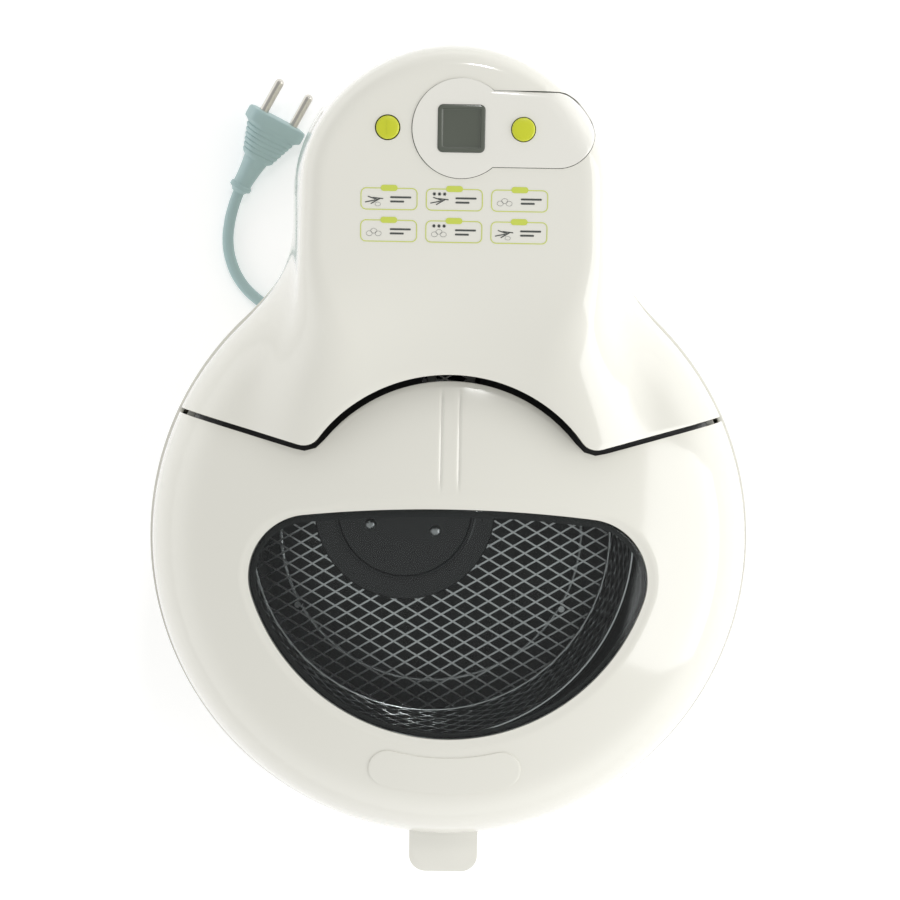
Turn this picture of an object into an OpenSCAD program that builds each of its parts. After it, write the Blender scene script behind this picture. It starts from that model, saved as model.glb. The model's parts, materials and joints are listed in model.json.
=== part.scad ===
// Hot-air fryer with a hinged, windowed lid, a lift-out pan and a mesh basket.
// +Z is up, +Y points to the rear housing. The origin is on the table, in the middle of the outline.

/* [Overall] */
// Width across the bowl's rim
bowl_w = 284; // [260:1:345]
// Height of the lid's lower edge above the table
rim_z = 114; // [98:1:140]
// How far the crown of the lid stands above the rim
dome_rise = 72; // [66:1:80]
// How far the rear edge of the control panel stands above the rim
panel_rise = 102; // [96:1:112]
// Half the width of the rear housing, also the radius of its round end
head_r = 76; // [72:1:90]
// Distance from the bowl's rim circle to the centre of the rear housing's round end
head_setback = 15; // [10:1:30]
// How far the latch and the folded handle stand out in front of the rim circle
front_overhang = 16; // [14:1:20]

/* [Shells] */
// Wall of the plastic shells
wall = 3; // [2.4:0.1:3.8]
// Wall of the lid shell
lid_wall = 2.5; // [2:0.1:3]
// How much narrower the body is at its bottom than at its rim, each side
body_taper = 20; // [12:1:26]
// Width of the open seam between the lid and the rear cover
seam_gap = 2.4; // [2:0.1:3]
// Radius of the middle arc of that seam
seam_r = 72.5; // [66:0.5:76]
// How far the rear cover stands above the lid along the seam
seam_step = 4; // [3:0.5:4]
// Height of the rubber feet
foot_h = 8; // [7:0.5:10]

/* [Window] */
// Radius of the round part of the window
window_r = 93; // [80:1:100]
// Radius of the window's rear corners
window_corner_r = 28; // [16:1:32]
// Thickness of the window
window_t = 2.5; // [2:0.1:3]

/* [Hinge and latch] */
// Radius of the lid's hinge pin
hinge_pin_r = 2; // [1.6:0.1:2.6]
// Radius of the latch pin
latch_pin_r = 1.5; // [1.2:0.1:2]
// Width of the latch tongue
latch_w = 32; // [28:1:36]

/* [Pan and basket] */
// Radial gap between the rim circle and the cooking liner
liner_margin = 23; // [22:1:30]
// Inner radius of the pan at its rim
pan_r = 112; // [100:1:113]
// Thickness of the pan
pan_t = 2; // [1.6:0.1:2.5]
// Radius of the basket at its rim
basket_r = 99.5; // [88:0.5:100]
// Width of the pan's handle
handle_w = 28; // [24:1:30]
// Length of the pan's handle from its pin
handle_len = 84; // [70:1:90]

/* [Drive] */
// Teeth on the drive gear
gear_teeth = 48; // [36:12:60]
// Teeth on the motor's pinion
pinion_teeth = 12; // [12:1:16]
// Tooth module
tooth_module = 1.25; // [1:0.05:1.3]
// Radius of the drive shaft
drive_shaft_r = 4; // [3:0.5:5]
// Radius of the circulation fan
fan_r = 34; // [30:1:36]

/* [Controls] */
// Tilt of the control panel towards the user
panel_tilt = 7; // [4:0.5:8]
// Radius of the two round buttons
button_r = 5; // [4:0.5:6]
// Width of the display
display_w = 20; // [16:1:24]
// Width of a cooking-guide label
label_w = 24.4; // [20:0.2:25]

/* [Cord] */
// Diameter of the mains cord
cord_d = 6; // [6:0.5:6]

/* [Hidden] */
$fn = 72;

white = [0.93, 0.92, 0.88];
black = [0.08, 0.08, 0.09];
steel = [0.7, 0.71, 0.72];
lime = [0.78, 0.8, 0.14];
grey = [0.6, 0.61, 0.6];
teal = [0.65, 0.74, 0.74];

fit = 0.05;               // running clearance of a pin in its bore
slip = 0.3;               // clearance between neighbouring pieces
big = 400;                // longer than the whole object, for cutting

bowl_r = bowl_w / 2;
head_y = bowl_r + head_setback;
front_reach = bowl_r + front_overhang;
bowl_y = (front_reach - head_y - head_r) / 2;

deck_z = rim_z - 2;
base_z = foot_h;
deck_t = wall;

crown_r = 330;
crown_z = rim_z + dome_rise;
shoulder_r0 = bowl_r - 28;
shoulder_r1 = bowl_r - 4;
skirt_slope = 80;
crown_slope = asin(shoulder_r0 / crown_r);
shoulder_bend = (shoulder_r1 - shoulder_r0) / (sin(skirt_slope) - sin(crown_slope));
shoulder_cr = shoulder_r0 - shoulder_bend * sin(crown_slope);
shoulder_cz = crown_z - crown_r + (crown_r - shoulder_bend) * cos(crown_slope);

// Height of the lid's surface at a distance from the bowl's axis, on the crown
function crown_at(r) = crown_z - crown_r + sqrt(crown_r * crown_r - r * r);
// Points on an arc, from one angle to another
function arc(c, r, a0, a1, n) =
  [for (i = [0:n]) c + r * [cos(a0 + (a1 - a0) * i / n), sin(a0 + (a1 - a0) * i / n)]];
// Points on an arc measured as a slope: 0 is level, 90 is upright
function slope_arc(c, r, s0, s1, n) =
  [for (i = [0:n]) c + r * [sin(s0 + (s1 - s0) * i / n), cos(s0 + (s1 - s0) * i / n)]];

panel_front_y = bowl_r - 27;
panel_back_z = rim_z + panel_rise;
panel_back_y = head_y + head_r - 10;
panel_front_z = panel_back_z - (panel_back_y - panel_front_y) * tan(panel_tilt);
function panel_z(y) = panel_front_z + (y - panel_front_y) * tan(panel_tilt);

seam_lift_z = crown_at(seam_r) + seam_step;
hinge_y = seam_r + 13.5;
hinge_z = crown_at(seam_r) - 4;

// Everything below is drawn with the bowl's axis at x = 0, y = 0, and moved into place here
module seated() {
  translate([0, bowl_y, 0]) children();
}

// ---- outlines and solids shared by several pieces ----

// The plan of the lid: all that lies in front of the seam, moved back by shift
seam_valley_r = 9;
seam_slope = 15.9;
seam_line_y = 21.6;
seam_rise = tan(seam_slope);
valley_h = seam_line_y + seam_valley_r / cos(seam_slope);
valley_x = (sqrt(pow(seam_r + seam_valley_r, 2) * (1 + seam_rise * seam_rise) - valley_h * valley_h)
  - seam_rise * valley_h) / (1 + seam_rise * seam_rise);
valley_y = valley_h + seam_rise * valley_x;
module seam_front(shift) {
  turn = atan2(valley_y, valley_x);
  edge_y = seam_line_y + shift / cos(seam_slope) + big * seam_rise;
  polygon(concat(
    [[-big, -big], [big, -big], [big, edge_y]],
    arc([valley_x, valley_y], seam_valley_r - shift, 270 + seam_slope, 180 + turn, 8),
    arc([0, 0], seam_r + shift, turn, 180 - turn, 36),
    arc([-valley_x, valley_y], seam_valley_r - shift, -turn, -90 - seam_slope, 8),
    [[-big, edge_y]]));
}

// The D-shaped outline of the window, grown by grow
window_cy = 4;
window_top_r = 563;
window_top_cy = -548.5;
window_corner_y = (pow(window_top_r - window_corner_r, 2) - pow(window_r - window_corner_r, 2)
  - pow(window_top_cy, 2) + pow(window_cy, 2)) / (2 * (window_cy - window_top_cy));
window_corner_x = sqrt(pow(window_r - window_corner_r, 2) - pow(window_corner_y - window_cy, 2));
module window_outline(grow) {
  c = [window_corner_x, window_corner_y];
  low = atan2(window_corner_y - window_cy, window_corner_x);
  high = atan2(window_corner_y - window_top_cy, window_corner_x);
  polygon(concat(
    arc([0, window_cy], window_r + grow, -180 - low, low, 40),
    arc(c, window_corner_r + grow, low, high, 10),
    arc([0, window_top_cy], window_top_r + grow, high, 180 - high, 6),
    arc([-c[0], c[1]], window_corner_r + grow, 180 - high, 180 - low, 10)));
}

// The dome under the lid's surface, as a solid: inset makes it thinner, lift raises its surface
module dome(inset, lift, foot) {
  c0 = [0, crown_z - crown_r + lift];
  c1 = [shoulder_cr, shoulder_cz + lift];
  skirt = c1 + (shoulder_bend - inset) * [sin(skirt_slope), cos(skirt_slope)];
  skirt_end = skirt[0] + (skirt[1] - foot) / tan(skirt_slope);
  rotate_extrude($fn = 144)
    polygon(concat(
      [[0, foot], [skirt_end, foot]],
      slope_arc(c1, shoulder_bend - inset, skirt_slope, crown_slope, 7),
      slope_arc(c0, crown_r - inset, crown_slope * 6 / 7, 0, 6)));
}

module dome_shell(inset, t, lift = 0, foot = rim_z) {
  difference() {
    dome(inset, lift, foot);
    dome(inset + t, lift, foot - 1);
  }
}

module prism(z0 = -1, z1 = big) {
  translate([0, 0, z0]) linear_extrude(z1 - z0) children();
}

// Half-width of a body that narrows towards its bottom
function body_half(r, z) = r - body_taper * (1 - sin(90 * (z - base_z) / (deck_z - base_z)));
function body_side(r, inset, z0, z1) =
  [for (i = [0:6]) let (z = base_z + (deck_z - base_z) * i / 6)
    [body_half(r, z) - inset, i == 0 ? z0 : i == 6 ? z1 : z]];

module body_solid(inset, z0, z1) {
  rotate_extrude($fn = 144)
    polygon(concat([[0, z0]], body_side(bowl_r, inset, z0, z1), [[0, z1]]));
  translate([0, head_y, 0]) rotate_extrude()
    polygon(concat([[0, z0]], body_side(head_r, inset, z0, z1), [[0, z1]]));
  side = body_side(head_r, inset, z0, z1);
  translate([0, head_y, 0]) rotate([90, 0, 0]) linear_extrude(head_y)
    polygon(concat(side, [for (i = [6:-1:0]) [-side[i][0], side[i][1]]]));
}

// The upper rear housing: narrows upwards and is cut off by the sloping panel
head_top_inset = 20;
function head_half(z) = head_r - head_top_inset * pow(max(0, z - deck_z) / (panel_back_z - deck_z), 2);
head_steps = 6;
function head_side(inset, z0) =
  [for (i = [0:head_steps]) let (z = deck_z + (panel_back_z - deck_z) * i / head_steps)
    [head_half(z) - inset, i == 0 ? z0 : i == head_steps ? z + 20 : z]];

module head_solid(inset, z0) {
  side = head_side(inset, z0);
  neck_y = seam_r + seam_gap / 2;
  back_y = head_y + head_r + 20;
  rise = tan(panel_tilt);
  intersection() {
    union() {
      translate([0, head_y, 0]) rotate_extrude()
        polygon(concat([[0, z0]], side, [[0, side[head_steps][1]]]));
      translate([0, head_y, 0]) rotate([90, 0, 0]) linear_extrude(head_y - 40)
        polygon(concat(side, [for (i = [head_steps:-1:0]) [-side[i][0], side[i][1]]]));
    }
    translate([-big / 2, 0, 0]) rotate([90, 0, 90]) linear_extrude(big)
      polygon([[0, z0], [back_y, z0], [back_y, panel_z(back_y) - inset], [panel_front_y, panel_front_z - inset],
        [neck_y, seam_lift_z - inset], [0, seam_lift_z - inset - neck_y * 0.5]]);
  }
}

// Puts things on the sloping control panel, at a place in plan and a depth below its surface
module on_panel(x, y, depth = 0) {
  translate([x, y, panel_z(y)]) rotate([panel_tilt, 0, 0]) translate([0, 0, -depth]) children();
}

module rounded(w, h, r) {
  square([w - 2 * r, h], center = true);
  square([w, h - 2 * r], center = true);
  for (x = [-1, 1], y = [-1, 1])
    translate([x * (w / 2 - r), y * (h / 2 - r)]) circle(r = r, $fn = 24);
}

// ---- base ----

bay_z = 26;
bay_half = 46;
bay_y0 = 64;
coil_y = head_y - 7;
module bay_plan(grow) {
  translate([0, coil_y]) circle(r = bay_half + grow);
  translate([-bay_half - grow, bay_y0 - grow]) square([2 * (bay_half + grow), coil_y - bay_y0 + grow]);
  translate([-big / 4, 102 - grow]) square([big / 4, 20 + 2 * grow]);
}

notch_half = 15;
hook_x = 20;
hook_y = -(bowl_r - 10);
module base_housing() {
  color(white) seated() difference() {
    body_solid(0, base_z, deck_z);
    difference() {
      body_solid(wall, base_z - 1, deck_z + 1);
      prism(deck_z - deck_t, deck_z) difference() {
        circle(r = bowl_r - 1);
        circle(r = liner_r + 1);
      }
    }
    // room for the pan's bracket, slots for the latch hooks, and the way out of the cord
    translate([-notch_half, -bowl_r - 5, deck_z - 20]) cube([2 * notch_half, 40, 30]);
    for (s = [-1, 1])
      translate([s * hook_x - 3, hook_y - 1, deck_z - 5]) cube([6, 9, 10]);
    translate([-big / 2, 101, 0]) cube([big / 2 - bay_half, 22, 20]);
  }
}

liner_r = bowl_r - liner_margin;
liner_floor_z = base_z + 32;
liner_t = 1.2;
liner_floor_r = liner_r - 15;
module cooking_liner() {
  top = deck_z - deck_t;
  color(steel) seated() difference() {
    rotate_extrude()
      polygon([[9, liner_floor_z], [liner_floor_r, liner_floor_z], [liner_r, top - liner_t], [liner_r + 6, top - liner_t],
        [liner_r + 6, top], [liner_r - liner_t, top], [liner_floor_r - liner_t, liner_floor_z + liner_t],
        [9, liner_floor_z + liner_t]]);
    translate([-12, -bowl_r, bracket_z - 8]) cube([24, 60, 24]);
  }
}

module bottom_plan(inset) {
  circle(r = body_half(bowl_r, base_z) - inset);
  translate([0, head_y]) circle(r = body_half(head_r, base_z) - inset);
  half = body_half(head_r, base_z) - inset;
  translate([-half, 0]) square([2 * half, head_y]);
}

cover_inset = wall + slip;
module bottom_cover() {
  color(black) seated() difference() {
    union() {
      prism(base_z, base_z + 2.5) bottom_plan(cover_inset);
      prism(base_z, bay_z + 2) intersection() {
        bottom_plan(cover_inset);
        bay_plan(2);
      }
    }
    prism(base_z - 1, bay_z) bay_plan(0);
    for (x = [-60:12:60])
      translate([x - 2, -95, base_z - 1]) cube([4, 50, 5]);
    for (p = screw_places)
      translate([p[0], p[1], base_z - 1]) cylinder(r = 2.2, h = 10);
    translate([gland_x, bay_y0 - 4, gland_z]) rotate([-90, 0, 0]) cylinder(r = gland_r, h = 8);
    translate([gland_x - 7, bay_y0 - 8, base_z - 1]) cube([14, 5.8, 9]);
  }
}

foot_places = [[-82, -58], [82, -58], [-80, 50], [80, 50]];
screw_places = [[-92, -20], [92, -20], [-40, -98], [40, -98]];
module rubber_feet() {
  color(black) seated() for (p = foot_places)
    translate([p[0], p[1], 0]) difference() {
      cylinder(r1 = 9, r2 = 10, h = foot_h);
      translate([0, 0, -1]) cylinder(r = 4, h = 3);
    }
}

module bottom_screws() {
  color(steel) seated() for (p = screw_places)
    translate([p[0], p[1], base_z - 2]) {
      cylinder(r = 3.6, h = 2);
      cylinder(r = 1.9, h = 14);
    }
}

// ---- rear cover and what it carries ----

inlay_r = 21;
inlay_arm = [60, 32];
inlay_t = 1.2;
controls_y = bowl_r + 36;
button_x = [-29, 29];
inlay_x = 2.5;
module inlay_plan(grow) {
  circle(r = inlay_r + grow);
  arm = inlay_arm[0] - inlay_arm[1] / 2 - inlay_x;
  translate([0, -inlay_arm[1] / 2 - grow]) square([arm, inlay_arm[1] + 2 * grow]);
  translate([arm, 0]) circle(r = inlay_arm[1] / 2 + grow);
}

label_h = 9.4;
label_t = 0.4;
label_columns = [-28, 0, 28];
label_rows = [controls_y - 30, controls_y - 43.5];
module rear_cover() {
  color(white) seated() difference() {
    union() {
      dome(0, seam_step, deck_z);
      head_solid(0, deck_z);
    }
    dome(wall, seam_step, deck_z - 1);
    head_solid(wall, deck_z - 1);
    prism() seam_front(seam_gap / 2);
    on_panel(inlay_x, controls_y, inlay_t) prism(0, 10) inlay_plan(0.1);
    on_panel(button_x[0], controls_y, 10) cylinder(r = button_r + slip, h = 20);
    on_panel(button_x[1], controls_y, 10) cylinder(r = button_r + slip, h = 20);
    on_panel(inlay_x, controls_y, 10) prism(0, 20) rounded(display_w - 2, display_w - 2, 2);
  }
}

module panel_inlay() {
  color(white) seated() on_panel(inlay_x, controls_y, inlay_t) difference() {
    prism(0, inlay_t + 0.6) inlay_plan(0);
    prism(-1, 10) rounded(display_w, display_w, 3);
    translate([button_x[1] - inlay_x, 0, -1]) cylinder(r = button_r + slip, h = 10);
  }
}

module display_lens() {
  color([0.3, 0.32, 0.27]) seated() on_panel(inlay_x, controls_y, inlay_t)
    prism(0, inlay_t + 0.2) rounded(display_w - 0.2, display_w - 0.2, 3);
}

module display_module() {
  color([0.35, 0.4, 0.32]) seated() on_panel(inlay_x, controls_y, 7)
    prism(0, 7 - inlay_t - 0.1) rounded(display_w - 3, display_w - 3, 1);
}

board_depth = 11;
board_t = 1.6;
module control_board() {
  color([0.1, 0.35, 0.2]) seated() on_panel(0, controls_y, board_depth + board_t)
    prism(0, board_t) rounded(82, 34, 2);
}

switch_top = 7;
module panel_switch(x) {
  on_panel(x, controls_y, board_depth) {
    prism(0, 2.6) square([6, 6], center = true);
    cylinder(r = 1.6, h = board_depth - switch_top);
  }
}
module on_off_switch() {
  color(steel) seated() panel_switch(button_x[0]);
}
module timer_switch() {
  color(steel) seated() panel_switch(button_x[1]);
}

on_travel = 1.5;
module panel_button(x, cap) {
  on_panel(x, controls_y, switch_top - on_travel - 0.2) {
    cylinder(r = button_r, h = switch_top - on_travel - 0.2 + cap);
    cylinder(r = button_r + 1.2, h = 1.4);
  }
}
module on_off_button() {
  color(lime) seated() panel_button(button_x[0], 0.8);
}
module timer_button() {
  color(lime) seated() panel_button(button_x[1], 1.6);
}

module guide_labels() {
  color(lime) seated() for (x = label_columns, y = label_rows)
    on_panel(x, y) prism(0, label_t) difference() {
      rounded(label_w, label_h, 2);
      rounded(label_w - 1.6, label_h - 1.6, 1.4);
    }
}

grille_half_angle = 34;
module air_outlet_grille() {
  r = liner_r + 3;
  color(steel) seated() difference() {
    prism(deck_z + 0.2, deck_z + 36) difference() {
      circle(r = r + 1.2);
      circle(r = r);
      polygon([[0, 0], big * [cos(90 - grille_half_angle), sin(90 - grille_half_angle)], [big, -big], [-big, -big],
        big * [cos(90 + grille_half_angle), sin(90 + grille_half_angle)]]);
    }
    for (a = [-28:4:28])
      rotate([0, 0, a]) translate([-2, r - 5, deck_z + 6]) cube([4, 12, 24]);
  }
}

fan_y = head_y + 21;
can_r = fan_r + 12;
can_z0 = deck_z + 4;
can_z1 = deck_z + 50;
can_t = 1.2;
module fan_housing() {
  throat_y = liner_r + 6;
  color(steel) seated() difference() {
    union() {
      translate([0, fan_y, can_z0]) cylinder(r = can_r, h = can_z1 - can_z0);
      translate([-40, throat_y, can_z0]) cube([80, fan_y - throat_y, 30]);
    }
    translate([0, fan_y, can_z0 + can_t]) cylinder(r = can_r - can_t, h = can_z1 - can_z0 - 2 * can_t);
    translate([-40 + can_t, throat_y - 1, can_z0 + can_t]) cube([80 - 2 * can_t, fan_y - throat_y, 30 - 2 * can_t]);
    translate([0, fan_y, can_z0]) cylinder(r = fan_shaft_r + 1.5, h = 100);
  }
}

fan_shaft_r = 2.5;
fan_z = can_z0 + 6;
module circulation_fan() {
  hub_r = 9;
  color(steel) seated() translate([0, fan_y, fan_z]) difference() {
    union() {
      cylinder(r = fan_r, h = 1.2);
      cylinder(r = hub_r, h = 16);
      for (i = [0:11])
        rotate([0, 0, 30 * i]) translate([hub_r + 9, -5, 1]) rotate([0, 0, 24]) cube([fan_r - hub_r - 14, 1, 15]);
    }
    translate([0, 0, -1]) cylinder(r = fan_shaft_r, h = 20);
  }
}

motor_z0 = can_z1 + 0.5;
motor_h = 28;
module fan_shaft() {
  color(steel) seated() translate([0, fan_y, fan_z]) cylinder(r = fan_shaft_r, h = motor_z0 - fan_z + motor_h - 6);
}

module fan_motor() {
  color(black) seated() translate([0, fan_y, motor_z0]) difference() {
    union() {
      cylinder(r = 22, h = motor_h);
      for (s = [-1, 1])
        translate([s * 26 - 7, -5, 0]) cube([14, 10, 2]);
    }
    translate([0, 0, -1]) cylinder(r = fan_shaft_r + fit, h = motor_h - 4);
  }
}

module heating_element() {
  color(steel) seated() translate([0, fan_y, 0]) {
    for (i = [0:1])
      translate([0, 0, can_z1 - 8]) rotate_extrude()
        translate([fan_r - 4 - 12 * i, 0]) circle(r = 3.2, $fn = 24);
    for (s = [-1, 1])
      translate([s * (fan_r - 10), 0, can_z1 - 8]) rotate([0, s * 90, 0]) translate([0, 0, -4]) cylinder(r = 2.6, h = 8);
  }
}

module thermostat() {
  color(white) seated() translate([-can_r - 5, fan_y - 6, can_z0 + 26]) rotate([0, 90, 0]) {
    cylinder(r = 7, h = 5);
    translate([0, 0, -2]) cylinder(r = 4, h = 3);
  }
}

module thermal_fuse() {
  color(steel) seated() translate([can_r + 3, fan_y - 10, can_z0 + 26]) rotate([-90, 0, 0]) cylinder(r = 1.8, h = 16);
}

module power_board() {
  color([0.1, 0.35, 0.2]) seated() translate([0, coil_y - 4, bay_z + 12]) {
    translate([-42, -26, 0]) cube([84, 60, 1.6]);
    translate([-34, -18, 1.6]) cube([22, 16, 14]);
    translate([6, 4, 1.6]) cylinder(r = 8, h = 18);
    for (i = [0:3])
      translate([12 + i * 7, -20, 1.6]) cube([5, 8, 9]);
    for (x = [-38, 34], y = [-22, 28])
      translate([x, y, -9.9]) cylinder(r = 3, h = 9.9);
  }
}

// ---- stirring drive under the liner ----

gear_r = tooth_module * gear_teeth / 2;
pinion_r = tooth_module * pinion_teeth / 2;
gear_z = base_z + 6;
gear_h = 7;
module toothed_wheel(teeth, h) {
  pitch_r = tooth_module * teeth / 2;
  root_r = pitch_r - 1.1 * tooth_module;
  tip_r = pitch_r + 0.8 * tooth_module;
  half = 360 / teeth / 4;
  cylinder(r = root_r, h = h);
  linear_extrude(h)
    for (i = [0:teeth - 1])
      rotate(i * 360 / teeth)
        polygon([(root_r - 0.5) * [cos(half * 1.35), -sin(half * 1.35)], pitch_r * [cos(half * 0.8), -sin(half * 0.8)],
          tip_r * [cos(half * 0.35), -sin(half * 0.35)], tip_r * [cos(half * 0.35), sin(half * 0.35)],
          pitch_r * [cos(half * 0.8), sin(half * 0.8)], (root_r - 0.5) * [cos(half * 1.35), sin(half * 1.35)]]);
}

module drive_gear() {
  color(white) seated() translate([0, 0, gear_z]) rotate([0, 0, 90 + 180 / gear_teeth]) difference() {
    union() {
      toothed_wheel(gear_teeth, gear_h);
      cylinder(r = drive_shaft_r + 5, h = gear_h + 2);
    }
    translate([0, 0, -1]) cylinder(r = drive_shaft_r, h = gear_h + 4);
  }
}

shaft_top = liner_floor_z + 22;
module drive_shaft() {
  color(steel) seated() translate([0, 0, gear_z - 3]) cylinder(r = drive_shaft_r, h = shaft_top - gear_z + 3);
}

pinion_y = gear_r + pinion_r;
module motor_pinion() {
  color(steel) seated() translate([0, pinion_y, gear_z]) {
    rotate([0, 0, 90]) toothed_wheel(pinion_teeth, gear_h);
    cylinder(r = 2, h = 20);
  }
}

plate_z = gear_z + gear_h + 3;
plate_t = 1.5;
module gear_plate() {
  color(steel) seated() difference() {
    translate([-24, -16, plate_z]) cube([48, pinion_y + 40, plate_t]);
    translate([0, 0, plate_z - 1]) cylinder(r = drive_shaft_r + 4, h = 5);
    translate([0, pinion_y, plate_z - 1]) cylinder(r = 4, h = 5);
  }
}

module stirrer_motor() {
  color(steel) seated() translate([0, pinion_y, plate_z + plate_t]) difference() {
    cylinder(r = 22, h = 13);
    translate([0, 0, -1]) cylinder(r = 2 + fit, h = 12);
  }
}

module shaft_bushing() {
  color([0.75, 0.6, 0.25]) seated() translate([0, 0, plate_z + plate_t]) difference() {
    union() {
      cylinder(r = 8.6, h = liner_floor_z + liner_t - plate_z - plate_t + 1);
      translate([0, 0, liner_floor_z - plate_z - plate_t - 2]) cylinder(r = 12, h = 2);
    }
    translate([0, 0, -1]) cylinder(r = drive_shaft_r + fit, h = 60);
  }
}

// ---- pan and basket ----

pan_rim_z = deck_z - deck_t + 1;
pan_floor_z = liner_floor_z + 8;
pan_floor_r = pan_r - 14;
pan_hub_r = drive_shaft_r + 2;
module pan() {
  lip = liner_r - liner_t - slip - pan_r;
  color(black) seated() rotate_extrude()
    polygon([[pan_hub_r, pan_floor_z], [pan_floor_r, pan_floor_z], [pan_r + pan_t, pan_rim_z - pan_t],
      [pan_r + lip, pan_rim_z - pan_t], [pan_r + lip, pan_rim_z], [pan_r, pan_rim_z],
      [pan_floor_r - pan_t, pan_floor_z + pan_t], [pan_hub_r + pan_t + 6, pan_floor_z + pan_t],
      [pan_hub_r + pan_t, shaft_top - 6], [pan_hub_r, shaft_top - 6]]);
}

handle_y = -(bowl_r + 8);
handle_pin_z = deck_z - 13;
handle_pin_r = 2;
bracket_z = deck_z - 9;
bracket_ear_back = 8.5;
bracket_ear_top = bracket_z + 2 - handle_pin_z;
module pan_bracket() {
  ear_y = handle_y;
  color(steel) seated() difference() {
    union() {
      translate([-11, ear_y + 6, bracket_z]) cube([22, -ear_y - 6 - pan_r - pan_t - 0.2, 2]);
      translate([-11, -pan_r - pan_t - 1.4, bracket_z - 6]) cube([22, 1.2, 8]);
      for (s = [-1, 1])
        translate([s * 9 - 1, ear_y - 3.5, handle_pin_z - 4]) cube([2, 3.5 + bracket_ear_back, bracket_ear_top + 4]);
    }
    translate([-20, handle_y, handle_pin_z]) rotate([0, 90, 0]) cylinder(r = handle_pin_r, h = 40);
  }
}

module handle_pin() {
  color(steel) seated() translate([-handle_w / 2 + 1, handle_y, handle_pin_z]) rotate([0, 90, 0])
    cylinder(r = handle_pin_r, h = handle_w - 2);
}

// The handle hangs in front of the body and swings up to the front
handle_d = 14;
module pan_handle() {
  color(white) seated() difference() {
    union() {
      translate([-handle_w / 2, handle_y, handle_pin_z]) rotate([0, 90, 0]) cylinder(r = 6.5, h = handle_w);
      translate([-handle_w / 2, handle_y - 8, handle_pin_z - handle_len]) cube([handle_w, handle_d, handle_len]);
    }
    // slots for the two ears, and the room they need over the whole swing
    for (s = [-1, 1])
      translate([s * 9 - 1 - slip, handle_y, handle_pin_z]) rotate([0, 90, 0])
        cylinder(r = norm([bracket_ear_back, bracket_ear_top]) + slip, h = 2 + 2 * slip);
    translate([-11 - slip, handle_y + 4.5, handle_pin_z - 4]) cube([22 + 2 * slip, 20, 30]);
    translate([-30, handle_y, handle_pin_z]) rotate([0, 90, 0]) cylinder(r = handle_pin_r + fit, h = 60);
    translate([-button_w / 2 - slip, handle_y - 10, button_z - 12]) cube([button_w + 2 * slip, 7, 26]);
    translate([-3.5, handle_y - 4, button_z - 30]) cube([7, 6, 44]);
  }
}

button_w = 12;
button_z = handle_pin_z - 28;
module handle_button() {
  color(grey) seated() {
    translate([-button_w / 2, handle_y - 7.7, button_z - 6]) cube([button_w, 4.4, 18]);
    translate([-3, handle_y - 3.3, button_z - 4]) cube([6, 5, 10]);
  }
}

module handle_spring() {
  color(steel) seated() for (i = [0:5])
    translate([0, handle_y - 0.7, button_z - 26 + i * 3.6]) rotate_extrude($fn = 24) translate([2, 0]) circle(r = 0.5, $fn = 16);
}

basket_x = -9;
basket_floor_r = basket_r - 8.5;
basket_z = liner_floor_z + 25;
basket_top_z = pan_rim_z - 9;
mesh_t = 1.2;
module mesh_basket() {
  color(steel) seated() translate([basket_x, 0, 0]) rotate_extrude()
    polygon([[0, basket_z], [basket_floor_r, basket_z], [basket_r, basket_top_z], [basket_r - mesh_t, basket_top_z],
      [basket_floor_r - mesh_t, basket_z + mesh_t], [0, basket_z + mesh_t]]);
}

rim_wire_r = 1.6;
module basket_rim() {
  stand_r = basket_floor_r - 14;
  color(steel) seated() translate([basket_x, 0, 0]) {
    translate([0, 0, basket_top_z + rim_wire_r]) rotate_extrude()
      translate([basket_r - 0.6, 0]) circle(r = rim_wire_r, $fn = 24);
    translate([0, 0, pan_floor_z + pan_t + rim_wire_r]) rotate_extrude()
      translate([stand_r, 0]) circle(r = rim_wire_r, $fn = 24);
    for (a = [90, 210, 330])
      rotate([0, 0, a]) translate([stand_r, 0, pan_floor_z + pan_t + rim_wire_r])
        cylinder(r = 1.4, h = basket_z - pan_floor_z - pan_t - rim_wire_r);
  }
}

// ---- hinge ----

knuckle_r = 5;
arm_x = 9;
arm_w = 4;
arm_drop = 19;
arm_reach = 19;
arm_front = hinge_y - arm_reach;
module hinge_arms() {
  top = crown_at(hinge_y - arm_reach) - lid_wall - 0.6;
  color(grey) seated() difference() {
    for (s = [-1, 1]) {
      translate([s * arm_x - arm_w / 2, hinge_y, hinge_z]) rotate([0, 90, 0]) cylinder(r = knuckle_r, h = arm_w);
      translate([s * arm_x - arm_w / 2, hinge_y - 3, hinge_z - arm_drop]) cube([arm_w, 6, arm_drop]);
      translate([s * arm_x - arm_w / 2, arm_front - 4, hinge_z - arm_drop - 2]) cube([arm_w, arm_reach + 7, 5]);
      translate([s * arm_x - arm_w / 2, arm_front - 4, hinge_z - arm_drop]) cube([arm_w, 4, top - hinge_z + arm_drop]);
    }
    translate([-20, hinge_y, hinge_z]) rotate([0, 90, 0]) cylinder(r = hinge_pin_r + fit, h = 40);
  }
}

lug_t = 3;
module hinge_bracket() {
  color(steel) seated() difference() {
    union() {
      translate([-18, hinge_y + 7, hinge_z - 14]) cube([36, 2, 22]);
      for (x = [-15, 0, 15])
        translate([x - lug_t / 2, hinge_y - 4, hinge_z - 4]) cube([lug_t, 12, 8]);
    }
    translate([-20, hinge_y, hinge_z]) rotate([0, 90, 0]) cylinder(r = hinge_pin_r, h = 40);
  }
}

module hinge_pin() {
  color(steel) seated() translate([-17.5, hinge_y, hinge_z]) rotate([0, 90, 0]) cylinder(r = hinge_pin_r, h = 35);
}

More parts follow.
